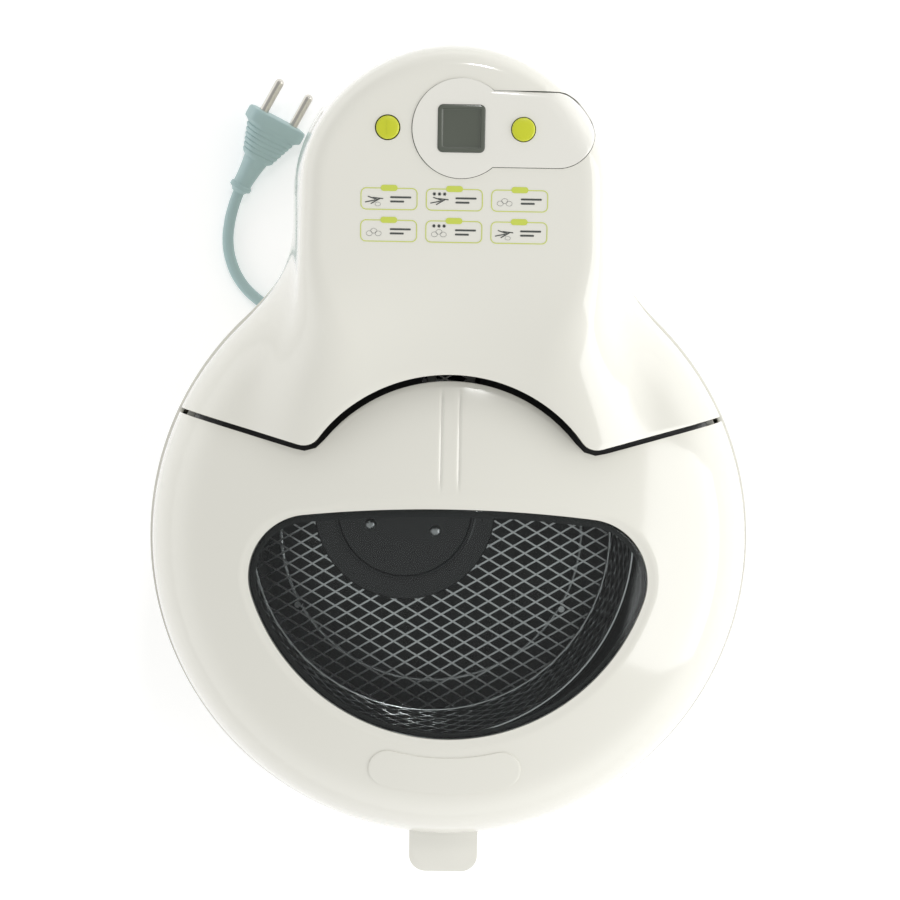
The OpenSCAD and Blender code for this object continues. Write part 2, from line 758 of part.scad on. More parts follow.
bumper_x = 100;
bumper_y = seam_line_y + bumper_x * tan(seam_slope) + seam_gap / 2 + 5;
module seam_bumpers() {
  color(grey) seated() for (s = [-1, 1])
    translate([s * bumper_x - 3, bumper_y - 4, crown_at(norm([bumper_x, bumper_y])) - 16]) cube([6, 8, 8]);
}

// The black trough that closes the space under the open seam and hangs from the rear cover
trough_depth = 7;
trough_t = 1.5;
trough_reach = 8;
module seam_trough() {
  foot = rim_z + 4;
  color(black) seated() difference() {
    union() {
      intersection() {
        dome_shell(trough_depth, trough_t, 0, foot);
        prism() difference() {
          seam_front(trough_reach);
          seam_front(-trough_reach);
        }
      }
      intersection() {
        difference() {
          dome(wall + fit, seam_step, foot);
          dome(trough_depth + trough_t, 0, foot - 1);
        }
        prism() difference() {
          seam_front(trough_reach);
          seam_front(trough_reach - trough_t);
        }
      }
    }
    // room for the swinging hinge arms and for the bumpers
    translate([-arm_x - 4, 0, 0]) cube([2 * arm_x + 8, big, big]);
    for (s = [-1, 1])
      translate([s * bumper_x - 3 - slip, bumper_y - 4 - slip, 0]) cube([6 + 2 * slip, big, big]);
  }
}

// ---- lid ----

latch_y = -(bowl_r - 11);
latch_z = rim_z + 10;
module lid_shell() {
  color(white) seated() difference() {
    intersection() {
      dome_shell(0, lid_wall);
      prism() seam_front(-seam_gap / 2);
    }
    prism(crown_z - 60) window_outline(0);
    translate([-latch_w / 2 - 1, -big, 0]) cube([latch_w + 2, big + latch_y + 6, big]);
  }
}

module lid_window() {
  color([0.75, 0.8, 0.82, 0.35]) seated() intersection() {
    dome_shell(1, window_t);
    prism(crown_z - 60) window_outline(-slip);
  }
}

gasket_w = 3;
module window_gasket() {
  color(black) seated() intersection() {
    dome_shell(1 + window_t + 0.1, 2);
    prism(crown_z - 60) difference() {
      window_outline(gasket_w);
      window_outline(-gasket_w);
    }
  }
}

frame_z = rim_z + 26;
ear_x = 25;
module lid_inner_frame() {
  color(black) seated() difference() {
    union() {
      intersection() {
        dome_shell(lid_wall + 0.2, 2, 0, rim_z + 4);
        prism() difference() {
          seam_front(-5);
          circle(r = window_r + 6);
        }
      }
      intersection() {
        dome(lid_wall + 0.3, 0, rim_z);
        for (s = [-1, 1])
          translate([s * ear_x - 1.5, latch_y - 3, latch_z - 4]) cube([3, 24, 45]);
      }
    }
    translate([-ear_x + 2, -big, 0]) cube([2 * ear_x - 4, big + latch_y + 12, big]);
    translate([-30, latch_y, latch_z]) rotate([0, 90, 0]) cylinder(r = latch_pin_r, h = 60);
  }
}

deflector_x = -20;
deflector_y = 14;
deflector_r = 41;
deflector_z = crown_z - 26;
deflector_screw_at = [for (a = [-35, 85, 205]) [deflector_x + 17 * cos(a), deflector_y + 17 * sin(a)]];
module lid_deflector() {
  color(black) seated() difference() {
    union() {
      translate([deflector_x, deflector_y, deflector_z]) cylinder(r = deflector_r, h = 2);
      translate([deflector_x, deflector_y, deflector_z - 8]) cylinder(r = deflector_r - 3, h = 8);
      translate([0, 30, deflector_z + 1]) cylinder(r = 7, h = crown_at(37) - lid_wall - slip - deflector_z - 1);
    }
    translate([deflector_x, deflector_y, deflector_z - 9]) cylinder(r = deflector_r - 5, h = 9.5);
    for (p = deflector_screw_at)
      translate([p[0], p[1], deflector_z - 9]) cylinder(r = 1.6, h = 20);
  }
}

module deflector_screws() {
  color(steel) seated() for (p = deflector_screw_at)
    translate([p[0], p[1], deflector_z]) difference() {
      union() {
        translate([0, 0, 2]) cylinder(r = 3.2, h = 1.4);
        translate([0, 0, -4]) cylinder(r = 1.6, h = 7);
      }
      for (a = [0, 90])
        rotate([0, 0, a]) translate([-2, -0.4, 2.6]) cube([4, 0.8, 2]);
    }
}

module latch_pin() {
  color(steel) seated() translate([-ear_x - 1, latch_y, latch_z]) rotate([0, 90, 0])
    cylinder(r = latch_pin_r, h = 2 * ear_x + 2);
}

module latch_spring() {
  color(steel) seated() for (i = [-2:2])
    translate([i * 1.6 - 0.5, latch_y, latch_z]) rotate([0, 90, 0]) rotate_extrude($fn = 32)
      translate([latch_pin_r + 1, 0]) square([0.9, 1]);
}

hook_len = rim_z - deck_z + deck_t + 16;
latch_corner = 8;
module lid_latch() {
  tip = -front_reach - latch_y;
  color(white) seated() difference() {
    union() {
      // the tongue: a round-ended plate whose top slopes down to the front
      intersection() {
        translate([-big / 2, latch_y, latch_z]) rotate([90, 0, 90]) linear_extrude(big)
          polygon([[5, 16], [0, 13], [-12, 7], [tip, 2], [tip, -6], [-8, -8], [5, -2]]);
        prism() hull() {
          for (s = [-1, 1])
            translate([s * (latch_w / 2 - latch_corner), -front_reach + latch_corner]) circle(r = latch_corner);
          translate([-latch_w / 2, latch_y]) square([latch_w, 5]);
        }
      }
      translate([-hook_x - 2, latch_y, latch_z]) rotate([0, 90, 0]) cylinder(r = 4.4, h = 2 * hook_x + 4);
      for (s = [-1, 1])
        translate([s * hook_x - 2, latch_y - 2, latch_z - hook_len]) {
          cube([4, 4, hook_len]);
          translate([0, -2.6, 0]) cube([4, 3, 3]);
        }
    }
    translate([-30, latch_y, latch_z]) rotate([0, 90, 0]) cylinder(r = latch_pin_r + fit, h = 60);
    translate([-6, latch_y - 8, latch_z - 6]) cube([12, 16, 12]);
  }
}

module latch_catch() {
  color(steel) seated() for (s = [-1, 1])
    translate([s * hook_x - 6, hook_y - 2, deck_z - deck_t - 1.5]) difference() {
      cube([12, 9, 1.4]);
      translate([3, 1, -1]) cube([6, 9, 4]);
    }
}

// ---- mains cord ----

gland_x = -39;
gland_z = 8;
gland_r = 5;
gland_end = bay_y0 + 28;
module cord_gland() {
  color(teal) seated() translate([gland_x, bay_y0, gland_z]) rotate([-90, 0, 0]) rotate_extrude()
    polygon([[0, -6], [6.4, -6], [6.4, -2.2], [gland_r, -2.2], [gland_r, 0.2], [6.4, 0.2], [6.4, 3],
      [5.2, 4], [3.4, gland_end - bay_y0], [0, gland_end - bay_y0]]);
}

coil_in = 24;
coil_out = 42;
coil_h = 2 * cord_d;
module cord_coil() {
  color(teal) seated() translate([0, coil_y, 0]) rotate_extrude()
    translate([coil_in, 0]) square([coil_out - coil_in, coil_h]);
}

module cord_tie() {
  color(black) seated() rotate([0, 0, 0]) translate([coil_in - 1.5, coil_y - 4, 0]) difference() {
    cube([coil_out - coil_in + 3, 8, coil_h + 1.5]);
    translate([1.4, -1, -1]) cube([coil_out - coil_in + 0.2, 10, coil_h + 1.1]);
  }
}

// Route points of the two stretches that are not coiled, on the cord's centre line
lead_route = [[-39, 92, 8], [-39, 97, 7.5], [-39, 102, 6.2], [-39, 107, 4.8], [-39, 112, 3.7], [-39, 117, 3.1],
  [-39, 122, 3], [-39, 130, 3], [-39, 138, 3]];
tail_route = [[-12, 111, 10.5], [-20, 111, 11], [-30, 111, 11.2], [-40, 111, 11], [-50, 111, 10], [-60, 111, 8],
  [-70, 111, 5.6], [-80, 112, 3.8], [-90, 113.5, 3.1], [-100, 117, 3], [-108, 122.5, 3], [-115, 130.5, 3],
  [-119.5, 140, 3], [-121.5, 150, 3], [-121, 160, 3.4], [-119, 169, 4.4], [-115, 180, 6.4]];

// A tube along a route, as rings of points square to the way the route runs
function ahead(route, i) =
  let (a = route[max(0, i - 1)], b = route[min(len(route) - 1, i + 1)]) (b - a) / norm(b - a);
function ring(route, i, r, sides) =
  let (d = ahead(route, i), u = cross(d, [0, 0, 1]) / norm(cross(d, [0, 0, 1])), v = cross(u, d))
  [for (k = [0:sides - 1]) let (a = 360 * k / sides) route[i] + r * (cos(a) * u + sin(a) * v)];
module swept_tube(route, r, sides) {
  n = len(route);
  polyhedron(
    points = [for (i = [0:n - 1]) each ring(route, i, r, sides)],
    faces = concat(
      [[for (k = [0:sides - 1]) k]],
      [for (i = [0:n - 2], k = [0:sides - 1]) let (a = i * sides + k, b = i * sides + (k + 1) % sides)
        each [[a, a + sides, b], [b, a + sides, b + sides]]],
      [[for (k = [sides - 1:-1:0]) (n - 1) * sides + k]]));
}

cord_sides = 10;
module cord_lead() {
  color(teal) seated() swept_tube(lead_route, cord_d / 2, cord_sides);
}
module cord_tube() {
  color(teal) seated() swept_tube(tail_route, cord_d / 2, cord_sides);
}

// The plug lies rolled on its side, its cord end lower than its face
plug_at = [-115, 180, 6.4];
plug_yaw = -30;
plug_pitch = 11;
plug_roll = 35;
plug_len = 42;
module at_plug() {
  seated() translate(plug_at) rotate([0, 0, plug_yaw]) rotate([plug_pitch - 90, 0, 0]) rotate([0, 0, plug_roll])
    children();
}
module plug_body() {
  color(teal) at_plug() intersection() {
    rotate_extrude()
      polygon([[0, 0], [3.6, 0], [5, 12], [7, 13], [7, 16], [10, 20], [13, 30], [16.5, 34], [16.5, plug_len],
        [0, plug_len]]);
    translate([-20, -8.5, -1]) cube([40, 17, plug_len + 2]);
  }
}
pin_r = 2.4;
pin_len = 19;
module plug_pins() {
  color(steel) at_plug() for (s = [-1, 1])
    translate([s * 9.5, 0, plug_len]) cylinder(r = pin_r, h = pin_len);
}

base_housing();
bottom_cover();
rubber_feet();
bottom_screws();
cooking_liner();
rear_cover();
panel_inlay();
display_lens();
display_module();
control_board();
on_off_switch();
timer_switch();
guide_labels();
air_outlet_grille();
fan_housing();
heating_element();
fan_motor();
thermostat();
thermal_fuse();
power_board();
stirrer_motor();
gear_plate();
shaft_bushing();
latch_catch();
hinge_bracket();
hinge_pin();
seam_bumpers();
seam_trough();
pan();
pan_bracket();
handle_pin();
mesh_basket();
basket_rim();
cord_gland();
cord_lead();
cord_coil();
cord_tie();
cord_tube();
plug_body();
plug_pins();
on_off_button();
timer_button();
circulation_fan();
fan_shaft();
drive_gear();
drive_shaft();
motor_pinion();
pan_handle();
handle_button();
handle_spring();
lid_shell();
lid_window();
window_gasket();
lid_inner_frame();
lid_deflector();
deflector_screws();
hinge_arms();
latch_pin();
latch_spring();
lid_latch();
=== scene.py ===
"""Looks of a low round hot-air fryer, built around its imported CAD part."""

import json
import math

import bmesh
import bpy
from mathutils import Matrix, Vector


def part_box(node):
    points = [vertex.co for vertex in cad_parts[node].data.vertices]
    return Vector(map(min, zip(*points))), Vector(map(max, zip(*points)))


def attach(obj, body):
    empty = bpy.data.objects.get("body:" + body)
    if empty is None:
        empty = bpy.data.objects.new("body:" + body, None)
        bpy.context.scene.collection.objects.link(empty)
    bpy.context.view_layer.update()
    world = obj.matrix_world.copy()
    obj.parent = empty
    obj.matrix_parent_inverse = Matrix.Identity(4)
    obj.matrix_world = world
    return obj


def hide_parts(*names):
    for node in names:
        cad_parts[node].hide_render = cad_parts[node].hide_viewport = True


bl_info = {
    "name": "Hot-air fryer",
    "version": (1, 0, 0),
    "blender": (4, 5, 0),
    "location": "View3D > Sidebar > Fryer",
    "description": "Shells, mesh basket, controls, cord and finishes of a hot-air fryer",
    "category": "Add Mesh",
}

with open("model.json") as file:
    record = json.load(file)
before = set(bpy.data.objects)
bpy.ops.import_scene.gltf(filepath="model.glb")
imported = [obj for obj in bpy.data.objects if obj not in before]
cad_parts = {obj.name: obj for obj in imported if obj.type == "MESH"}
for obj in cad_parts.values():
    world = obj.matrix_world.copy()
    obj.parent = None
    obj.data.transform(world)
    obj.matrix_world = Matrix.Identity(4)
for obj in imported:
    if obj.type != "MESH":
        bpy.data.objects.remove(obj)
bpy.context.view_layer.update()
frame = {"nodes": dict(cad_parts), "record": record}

MM = 0.001
SHARP_ANGLE = 38            # degrees above which an edge stays sharp
WELD = 1e-6                 # metres within which points are merged


# ---------------------------------------------------------------- sizes taken from the frame

def centre(node):
    """Middle of a CAD node's box."""
    low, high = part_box(node)
    return (low + high) / 2


BOWL_Y = centre("cooking_liner").y
RIM_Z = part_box("lid_shell")[0].z
DECK_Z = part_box("base_housing")[1].z
BASE_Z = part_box("base_housing")[0].z
BOWL_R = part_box("base_housing")[1].x
CROWN_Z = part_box("lid_deflector")[0].z + 34 * MM
HEAD_R = 76 * MM
HEAD_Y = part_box("base_housing")[1].y - BOWL_Y - HEAD_R
SEAM_R = 72.5 * MM
SEAM_GAP = 2.4 * MM
SEAM_STEP = 4 * MM
CROWN_R = 330 * MM
SHOULDER_R0 = BOWL_R - 28 * MM
SHOULDER_R1 = BOWL_R - 4 * MM
SKIRT_SLOPE = math.radians(80)
CROWN_SLOPE = math.asin(SHOULDER_R0 / CROWN_R)
SHOULDER_BEND = (SHOULDER_R1 - SHOULDER_R0) / (math.sin(SKIRT_SLOPE) - math.sin(CROWN_SLOPE))
SHOULDER_CR = SHOULDER_R0 - SHOULDER_BEND * math.sin(CROWN_SLOPE)
SHOULDER_CZ = CROWN_Z - CROWN_R + (CROWN_R - SHOULDER_BEND) * math.cos(CROWN_SLOPE)
CROWN_LENGTH = CROWN_R * CROWN_SLOPE
SHOULDER_LENGTH = SHOULDER_BEND * (SKIRT_SLOPE - CROWN_SLOPE)
BODY_TAPER = 20 * MM
LID_T = 2.5 * MM
SHELL_T = 3 * MM
WINDOW_T = 2.4 * MM
PANEL_TILT = math.radians(7)
PANEL_FRONT_Y = BOWL_R - 27 * MM
PANEL_BACK_Y = HEAD_Y + HEAD_R - 10 * MM
PANEL_BACK_Z = RIM_Z + 102 * MM
ROOF_Z = 235 * MM
PANEL_FRONT_Z = PANEL_BACK_Z - (PANEL_BACK_Y - PANEL_FRONT_Y) * math.tan(PANEL_TILT)
CONTROLS_Y = BOWL_R + 36 * MM
INLAY_X = 2.5 * MM          # middle of the display and of the inlay's disc
INLAY_DISC_R = 21 * MM
INLAY_ARM_R = 16 * MM
INLAY_END_X = 60 * MM
BUTTON_X = 29 * MM
BUTTON_R = 5 * MM
CORD_R = 3 * MM
COIL_Y = HEAD_Y - 7 * MM
UPPER_TURNS_Z = 9.2 * MM    # height of the coil's second layer


def crown_at(r):
    """Height of the lid's crown at a distance from the bowl's axis."""
    return CROWN_Z - CROWN_R + math.sqrt(CROWN_R * CROWN_R - r * r)


def panel_z(y):
    """Height of the control panel's plane at a distance behind the bowl's axis."""
    return PANEL_FRONT_Z + (y - PANEL_FRONT_Y) * math.tan(PANEL_TILT)


def dome_point(s):
    """Radius and height on the lid's outline after a run s from the crown's top."""
    if s <= CROWN_LENGTH:
        turn = s / CROWN_R
        return CROWN_R * math.sin(turn), CROWN_Z - CROWN_R + CROWN_R * math.cos(turn)
    s -= CROWN_LENGTH
    if s <= SHOULDER_LENGTH:
        turn = CROWN_SLOPE + s / SHOULDER_BEND
        return (SHOULDER_CR + SHOULDER_BEND * math.sin(turn),
                SHOULDER_CZ + SHOULDER_BEND * math.cos(turn))
    s -= SHOULDER_LENGTH
    z0 = SHOULDER_CZ + SHOULDER_BEND * math.cos(SKIRT_SLOPE)
    return SHOULDER_R1 + s * math.cos(SKIRT_SLOPE), z0 - s * math.sin(SKIRT_SLOPE)


def dome_run(r):
    """The run along the lid's outline at which it reaches a radius."""
    if r <= SHOULDER_R0:
        return CROWN_R * math.asin(r / CROWN_R)
    if r <= SHOULDER_R1:
        turn = math.asin(min(1.0, (r - SHOULDER_CR) / SHOULDER_BEND))
        return CROWN_LENGTH + SHOULDER_BEND * (turn - CROWN_SLOPE)
    return CROWN_LENGTH + SHOULDER_LENGTH + (r - SHOULDER_R1) / math.cos(SKIRT_SLOPE)


def smooth_step(a, b, x):
    """0 below a, 1 above b, and an easy curve between."""
    t = min(1.0, max(0.0, (x - a) / (b - a)))
    return t * t * (3 - 2 * t)


def smooth_min(a, b, k):
    """The smaller of two values, rounded off over k."""
    h = max(k - abs(a - b), 0.0) / k
    return min(a, b) - h * h * k / 4


def lerp(a, b, t):
    """The value at a share t of the way from a to b."""
    return a + (b - a) * t


# The seam between the lid and the rear housing, as y over x, moved back by shift
VALLEY_R = 9 * MM
SEAM_SLOPE = math.radians(15.9)
SEAM_LINE_Y = 21.6 * MM
VALLEY_H = SEAM_LINE_Y + VALLEY_R / math.cos(SEAM_SLOPE)
SEAM_RISE = math.tan(SEAM_SLOPE)
VALLEY_X = (math.sqrt((SEAM_R + VALLEY_R) ** 2 * (1 + SEAM_RISE ** 2) - VALLEY_H ** 2)
            - SEAM_RISE * VALLEY_H) / (1 + SEAM_RISE ** 2)
VALLEY_Y = VALLEY_H + SEAM_RISE * VALLEY_X


def seam_y(x, shift):
    """How far behind the bowl's axis the seam lies at a place across it."""
    x = abs(x)
    r = SEAM_R + shift
    turn = math.atan2(VALLEY_Y, VALLEY_X)
    if x <= r * math.cos(turn):
        return math.sqrt(r * r - x * x)
    rv = VALLEY_R - shift
    if x <= VALLEY_X + rv * math.sin(SEAM_SLOPE):
        return VALLEY_Y - math.sqrt(max(0.0, rv * rv - (x - VALLEY_X) ** 2))
    return SEAM_LINE_Y + shift / math.cos(SEAM_SLOPE) + x * SEAM_RISE


def seam_end(shift, r):
    """Where the straight part of the seam meets a circle round the bowl's axis."""
    h = SEAM_LINE_Y + shift / math.cos(SEAM_SLOPE)
    return (math.sqrt(r * r * (1 + SEAM_RISE ** 2) - h * h) - SEAM_RISE * h) / (1 + SEAM_RISE ** 2)


# The D-shaped window
WINDOW_R = 93 * MM
WINDOW_CY = 4 * MM
WINDOW_TOP_R = 563 * MM
WINDOW_TOP_CY = -548.5 * MM
WINDOW_CORNER_R = 28 * MM
CORNER_Y = ((WINDOW_TOP_R - WINDOW_CORNER_R) ** 2 - (WINDOW_R - WINDOW_CORNER_R) ** 2
            - WINDOW_TOP_CY ** 2 + WINDOW_CY ** 2) / (2 * (WINDOW_CY - WINDOW_TOP_CY))
CORNER_X = math.sqrt((WINDOW_R - WINDOW_CORNER_R) ** 2 - (CORNER_Y - WINDOW_CY) ** 2)
CORNER_LOW = math.atan2(CORNER_Y - WINDOW_CY, CORNER_X)
CORNER_HIGH = math.atan2(CORNER_Y - WINDOW_TOP_CY, CORNER_X)


def window_top_y(x):
    """Height in plan of the window's rear edge, grown corners left out."""
    return WINDOW_TOP_CY + math.sqrt(WINDOW_TOP_R ** 2 - x * x)


def window_side(t):
    """Right half of the window's outline: 0 at the rear edge's middle, 1 at the front."""
    top = WINDOW_TOP_R * (math.pi / 2 - CORNER_HIGH)
    corner = WINDOW_CORNER_R * (CORNER_HIGH - CORNER_LOW)
    bottom = WINDOW_R * (CORNER_LOW + math.pi / 2)
    s = t * (top + corner + bottom)
    if s <= top:
        a = math.pi / 2 - s / WINDOW_TOP_R
        return WINDOW_TOP_R * math.cos(a), WINDOW_TOP_CY + WINDOW_TOP_R * math.sin(a)
    s -= top
    if s <= corner:
        a = CORNER_HIGH - s / WINDOW_CORNER_R
        return CORNER_X + WINDOW_CORNER_R * math.cos(a), CORNER_Y + WINDOW_CORNER_R * math.sin(a)
    a = CORNER_LOW - (s - corner) / WINDOW_R
    return WINDOW_R * math.cos(a), WINDOW_CY + WINDOW_R * math.sin(a)


# ---------------------------------------------------------------- making and placing pieces

def place(piece, body, slot, replaces=(), material=None):
    """Gives a finished piece its body and the material of its record slot, and hides the CAD nodes it stands
    for.
    """
    piece.data.materials.clear()
    piece.data.materials.append(material or material_of(slot))
    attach(piece, body)
    if replaces:
        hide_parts(*replaces)
    return piece


def to_piece(bm, name, sharp=SHARP_ANGLE, inside=None):
    """Turns a bmesh into an object with smooth faces and sharp edges above an angle in degrees.

    An open sheet gives a point inside it, and its faces are turned away from there."""
    mesh = bpy.data.meshes.new(name)
    bmesh.ops.remove_doubles(bm, verts=bm.verts, dist=WELD)
    bmesh.ops.recalc_face_normals(bm, faces=bm.faces)
    if inside is not None:
        facing = sum(f.normal.dot(f.calc_center_median() - Vector(inside)) * f.calc_area()
                     for f in bm.faces)
        if facing < 0:
            bmesh.ops.reverse_faces(bm, faces=bm.faces)
    bm.to_mesh(mesh)
    bm.free()
    shade(mesh, sharp)
    piece = bpy.data.objects.new(name, mesh)
    bpy.context.scene.collection.objects.link(piece)
    return piece


def shade(mesh, sharp=SHARP_ANGLE):
    """Smooth faces, and sharp edges above an angle in degrees."""
    mesh.shade_smooth()
    mesh.set_sharp_from_angle(angle=math.radians(sharp))


def settle(piece):
    """Applies a piece's modifiers and keeps the result as its mesh."""
    graph = bpy.context.evaluated_depsgraph_get()
    mesh = bpy.data.meshes.new_from_object(piece.evaluated_get(graph))
    piece.modifiers.clear()
    piece.data = mesh
    shade(mesh)
    return piece


def carve(piece, cutter):
    """Cuts one piece with another, which is used up."""
    step = piece.modifiers.new("carve", "BOOLEAN")
    step.operation = "DIFFERENCE"
    step.solver = "EXACT"
    step.object = cutter
    settle(piece)
    bpy.data.objects.remove(cutter)
    return piece


def round_edges(bm, width, segments=3, angle=40, where=None):
    """Rounds the edges that turn by more than an angle."""
    edges = [e for e in bm.edges if len(e.link_faces) == 2
             and e.calc_face_angle(0) > math.radians(angle) and (where is None or where(e))]
    bmesh.ops.bevel(bm, geom=edges, offset=width, offset_type="OFFSET", segments=segments,
                    profile=0.5, affect="EDGES", material=-1, clamp_overlap=True)


def round_piece(piece, width, segments):
    """Rounds the sharp edges of a piece that is a mesh already."""
    bm = bmesh.new()
    bm.from_mesh(piece.data)
    round_edges(bm, width, segments, 60)
    bm.to_mesh(piece.data)
    bm.free()


def spun(profile, at, steps=96, closed=False):
    """A turned shape from (radius, height) points, in a bmesh."""
    bm = bmesh.new()
    verts = [bm.verts.new((r, 0, z)) for r, z in profile]
    edges = [bm.edges.new(pair) for pair in zip(verts, verts[1:])]
    if closed:
        edges.append(bm.edges.new((verts[-1], verts[0])))
    bmesh.ops.spin(bm, geom=verts + edges, cent=(0, 0, 0), axis=(0, 0, 1), angle=2 * math.pi,
                   steps=steps, use_merge=True, use_duplicate=False)
    bmesh.ops.remove_doubles(bm, verts=bm.verts, dist=WELD)
    bmesh.ops.transform(bm, matrix=Matrix.Translation(at), verts=bm.verts)
    return bm


def box_mesh(low, high):
    """A box between two corners, in a bmesh."""
    low, high = Vector(low), Vector(high)
    bm = bmesh.new()
    bmesh.ops.create_cube(bm, size=1)
    bmesh.ops.scale(bm, vec=high - low, verts=bm.verts)
    bmesh.ops.translate(bm, vec=(low + high) / 2, verts=bm.verts)
    return bm


def slab(points, z0, z1):
    """A flat outline pulled up between two heights, in a bmesh."""
    bm = bmesh.new()
    face = bm.faces.new([bm.verts.new((x, y, z0)) for x, y in points])
    up = bmesh.ops.extrude_face_region(bm, geom=[face])["geom"]
    raised = [g for g in up if isinstance(g, bmesh.types.BMVert)]
    bmesh.ops.translate(bm, vec=(0, 0, z1 - z0), verts=raised)
    bmesh.ops.recalc_face_normals(bm, faces=bm.faces)
    return bm


def turn_z(bm, angle):
    """Turns a shape about the origin, in degrees."""
    matrix = Matrix.Rotation(math.radians(angle), 3, "Z")
    bmesh.ops.rotate(bm, cent=(0, 0, 0), matrix=matrix, verts=bm.verts)


def join_bm(parts):
    """Puts several bmeshes into one."""
    whole = bmesh.new()
    for part in parts:
        mesh = bpy.data.meshes.new("part")
        part.to_mesh(mesh)
        part.free()
        whole.from_mesh(mesh)
        bpy.data.meshes.remove(mesh)
    return whole


def arc_points(cx, cy, r, a0, a1, n):
    """Points on an arc in plan, angles in degrees."""
    turns = [math.radians(lerp(a0, a1, i / n)) for i in range(n + 1)]
    return [(cx + r * math.cos(a), cy + r * math.sin(a)) for a in turns]


def rounded_rect(w, h, r, n=6):
    """A rectangle with round corners, about the origin."""
    x, y = w / 2 - r, h / 2 - r
    return (arc_points(x, y, r, 0, 90, n) + arc_points(-x, y, r, 90, 180, n)
            + arc_points(-x, -y, r, 180, 270, n) + arc_points(x, -y, r, 270, 360, n))


def on_panel(bm, x, y):
    """Puts a shape drawn about the origin onto the sloping control panel."""
    spot = Matrix.Translation((x, y + BOWL_Y, panel_z(y))) @ Matrix.Rotation(PANEL_TILT, 4, "X")
    bmesh.ops.transform(bm, matrix=spot, verts=bm.verts)
    return bm


def ring_stack(rings, close=True):
    """Skins a list of rings of points: each ring is the last ring's edges, pulled on."""
    bm = bmesh.new()
    verts = [bm.verts.new(p) for p in rings[0]]
    pairs = list(zip(verts, verts[1:] + (verts[:1] if close else [])))
    edges = [bm.edges.new(pair) for pair in pairs if pair[0] is not pair[1]]
    for ring in rings[1:]:
        pulled = bmesh.ops.extrude_edge_only(bm, edges=edges)["geom"]
        edges = [g for g in pulled if isinstance(g, bmesh.types.BMEdge)]
        fresh = {g for g in pulled if isinstance(g, bmesh.types.BMVert)}
        source = {}
        for v in fresh:
            for e in v.link_edges:
                if e.other_vert(v) not in fresh:
                    source[e.other_vert(v)] = v
        verts = [source[v] for v in verts]
        for v, p in zip(verts, ring):
            v.co = p
    return bm


def cap_ends(bm):
    """Closes every open loop of a bmesh with a face."""
    bmesh.ops.holes_fill(bm, edges=[e for e in bm.edges if e.is_boundary], sides=0)
    return bm


def close_hub(bm, x, y, reach):
    """Closes the small opening left in the middle of a sheet of rings."""
    hub = [e for e in bm.edges if e.is_boundary
           and all(math.hypot(v.co.x - x, v.co.y - y) < reach for v in e.verts)]
    bmesh.ops.holes_fill(bm, edges=hub, sides=0)


def mirror_x(bm):
    """Adds the other half of a shape that is drawn for x above 0."""
    bmesh.ops.mirror(bm, geom=bm.verts[:] + bm.edges[:] + bm.faces[:], matrix=Matrix.Identity(4),
                     merge_dist=2e-5, axis="X")
    return bm


def thicken(piece, t, edge):
    """Gives an open sheet a wall inwards and rounds the wall's edges."""
    wall = piece.modifiers.new("wall", "SOLIDIFY")
    wall.thickness = t
    wall.offset = -1
    wall.use_even_offset = True
    settle(piece)
    round_piece(piece, edge, 2)
    shade(piece.data)
    return piece


def softened(node, name, width, segments, angle):
    """A copy of a CAD node with its edges rounded."""
    bm = bmesh.new()
    bm.from_mesh(frame["nodes"][node].data)
    bmesh.ops.remove_doubles(bm, verts=bm.verts, dist=2e-6)
    bmesh.ops.dissolve_limit(bm, angle_limit=math.radians(1), verts=bm.verts, edges=bm.edges)
    round_edges(bm, width, segments, angle)
    bmesh.ops.triangulate(bm, faces=[f for f in bm.faces if len(f.verts) > 4])
    return to_piece(bm, name)


def resampled(points, count):
    """Points evenly spaced along a line of points."""
    runs = [0.0]
    for a, b in zip(points, points[1:]):
        runs.append(runs[-1] + (Vector(b) - Vector(a)).length)
    picked = []
    k = 0
    for i in range(count):
        run = runs[-1] * i / (count - 1)
        while k < len(points) - 2 and runs[k + 1] < run:
            k += 1
        part = (run - runs[k]) / max(1e-9, runs[k + 1] - runs[k])
        picked.append(Vector(points[k]).lerp(Vector(points[k + 1]), min(1.0, part)))
    return picked


# ---------------------------------------------------------------- materials

def socket(node, name, value):
    """Sets the value of an input."""
    node.inputs[name].default_value = value


def base_nodes(name):
    """A new node material with a Principled shader, and coordinates fixed to the piece."""
    mat = bpy.data.materials.new(name)
    mat.use_nodes = True
    nodes = mat.node_tree.nodes
    shader = nodes["Principled BSDF"]
    where = nodes.new("ShaderNodeTexCoord")
    return mat, nodes, mat.node_tree.links, shader, where


def noise(nodes, links, where, scale, detail=3.0, stretch=None):
    """Noise over the piece, drawn out along an axis if stretch is given."""
    tex = nodes.new("ShaderNodeTexNoise")
    socket(tex, "Scale", scale)
    socket(tex, "Detail", detail)
    if stretch is None:
        links.new(where.outputs["Object"], tex.inputs["Vector"])
        return tex
    mapping = nodes.new("ShaderNodeMapping")
    socket(mapping, "Scale", stretch)
    links.new(where.outputs["Object"], mapping.inputs["Vector"])
    links.new(mapping.outputs["Vector"], tex.inputs["Vector"])
    return tex


def spread(nodes, links, source, low, high):
    """Maps a 0-1 value to a range."""
    ramp = nodes.new("ShaderNodeMapRange")
    socket(ramp, "From Min", 0.3)
    socket(ramp, "From Max", 0.7)
    socket(ramp, "To Min", low)
    socket(ramp, "To Max", high)
    links.new(source, ramp.inputs["Value"])
    return ramp.outputs["Result"]


def bump(nodes, links, shader, height, strength, distance):
    """Small relief from a height value."""
    node = nodes.new("ShaderNodeBump")
    socket(node, "Strength", strength)
    socket(node, "Distance", distance)
    links.new(height, node.inputs["Height"])
    links.new(node.outputs["Normal"], shader.inputs["Normal"])


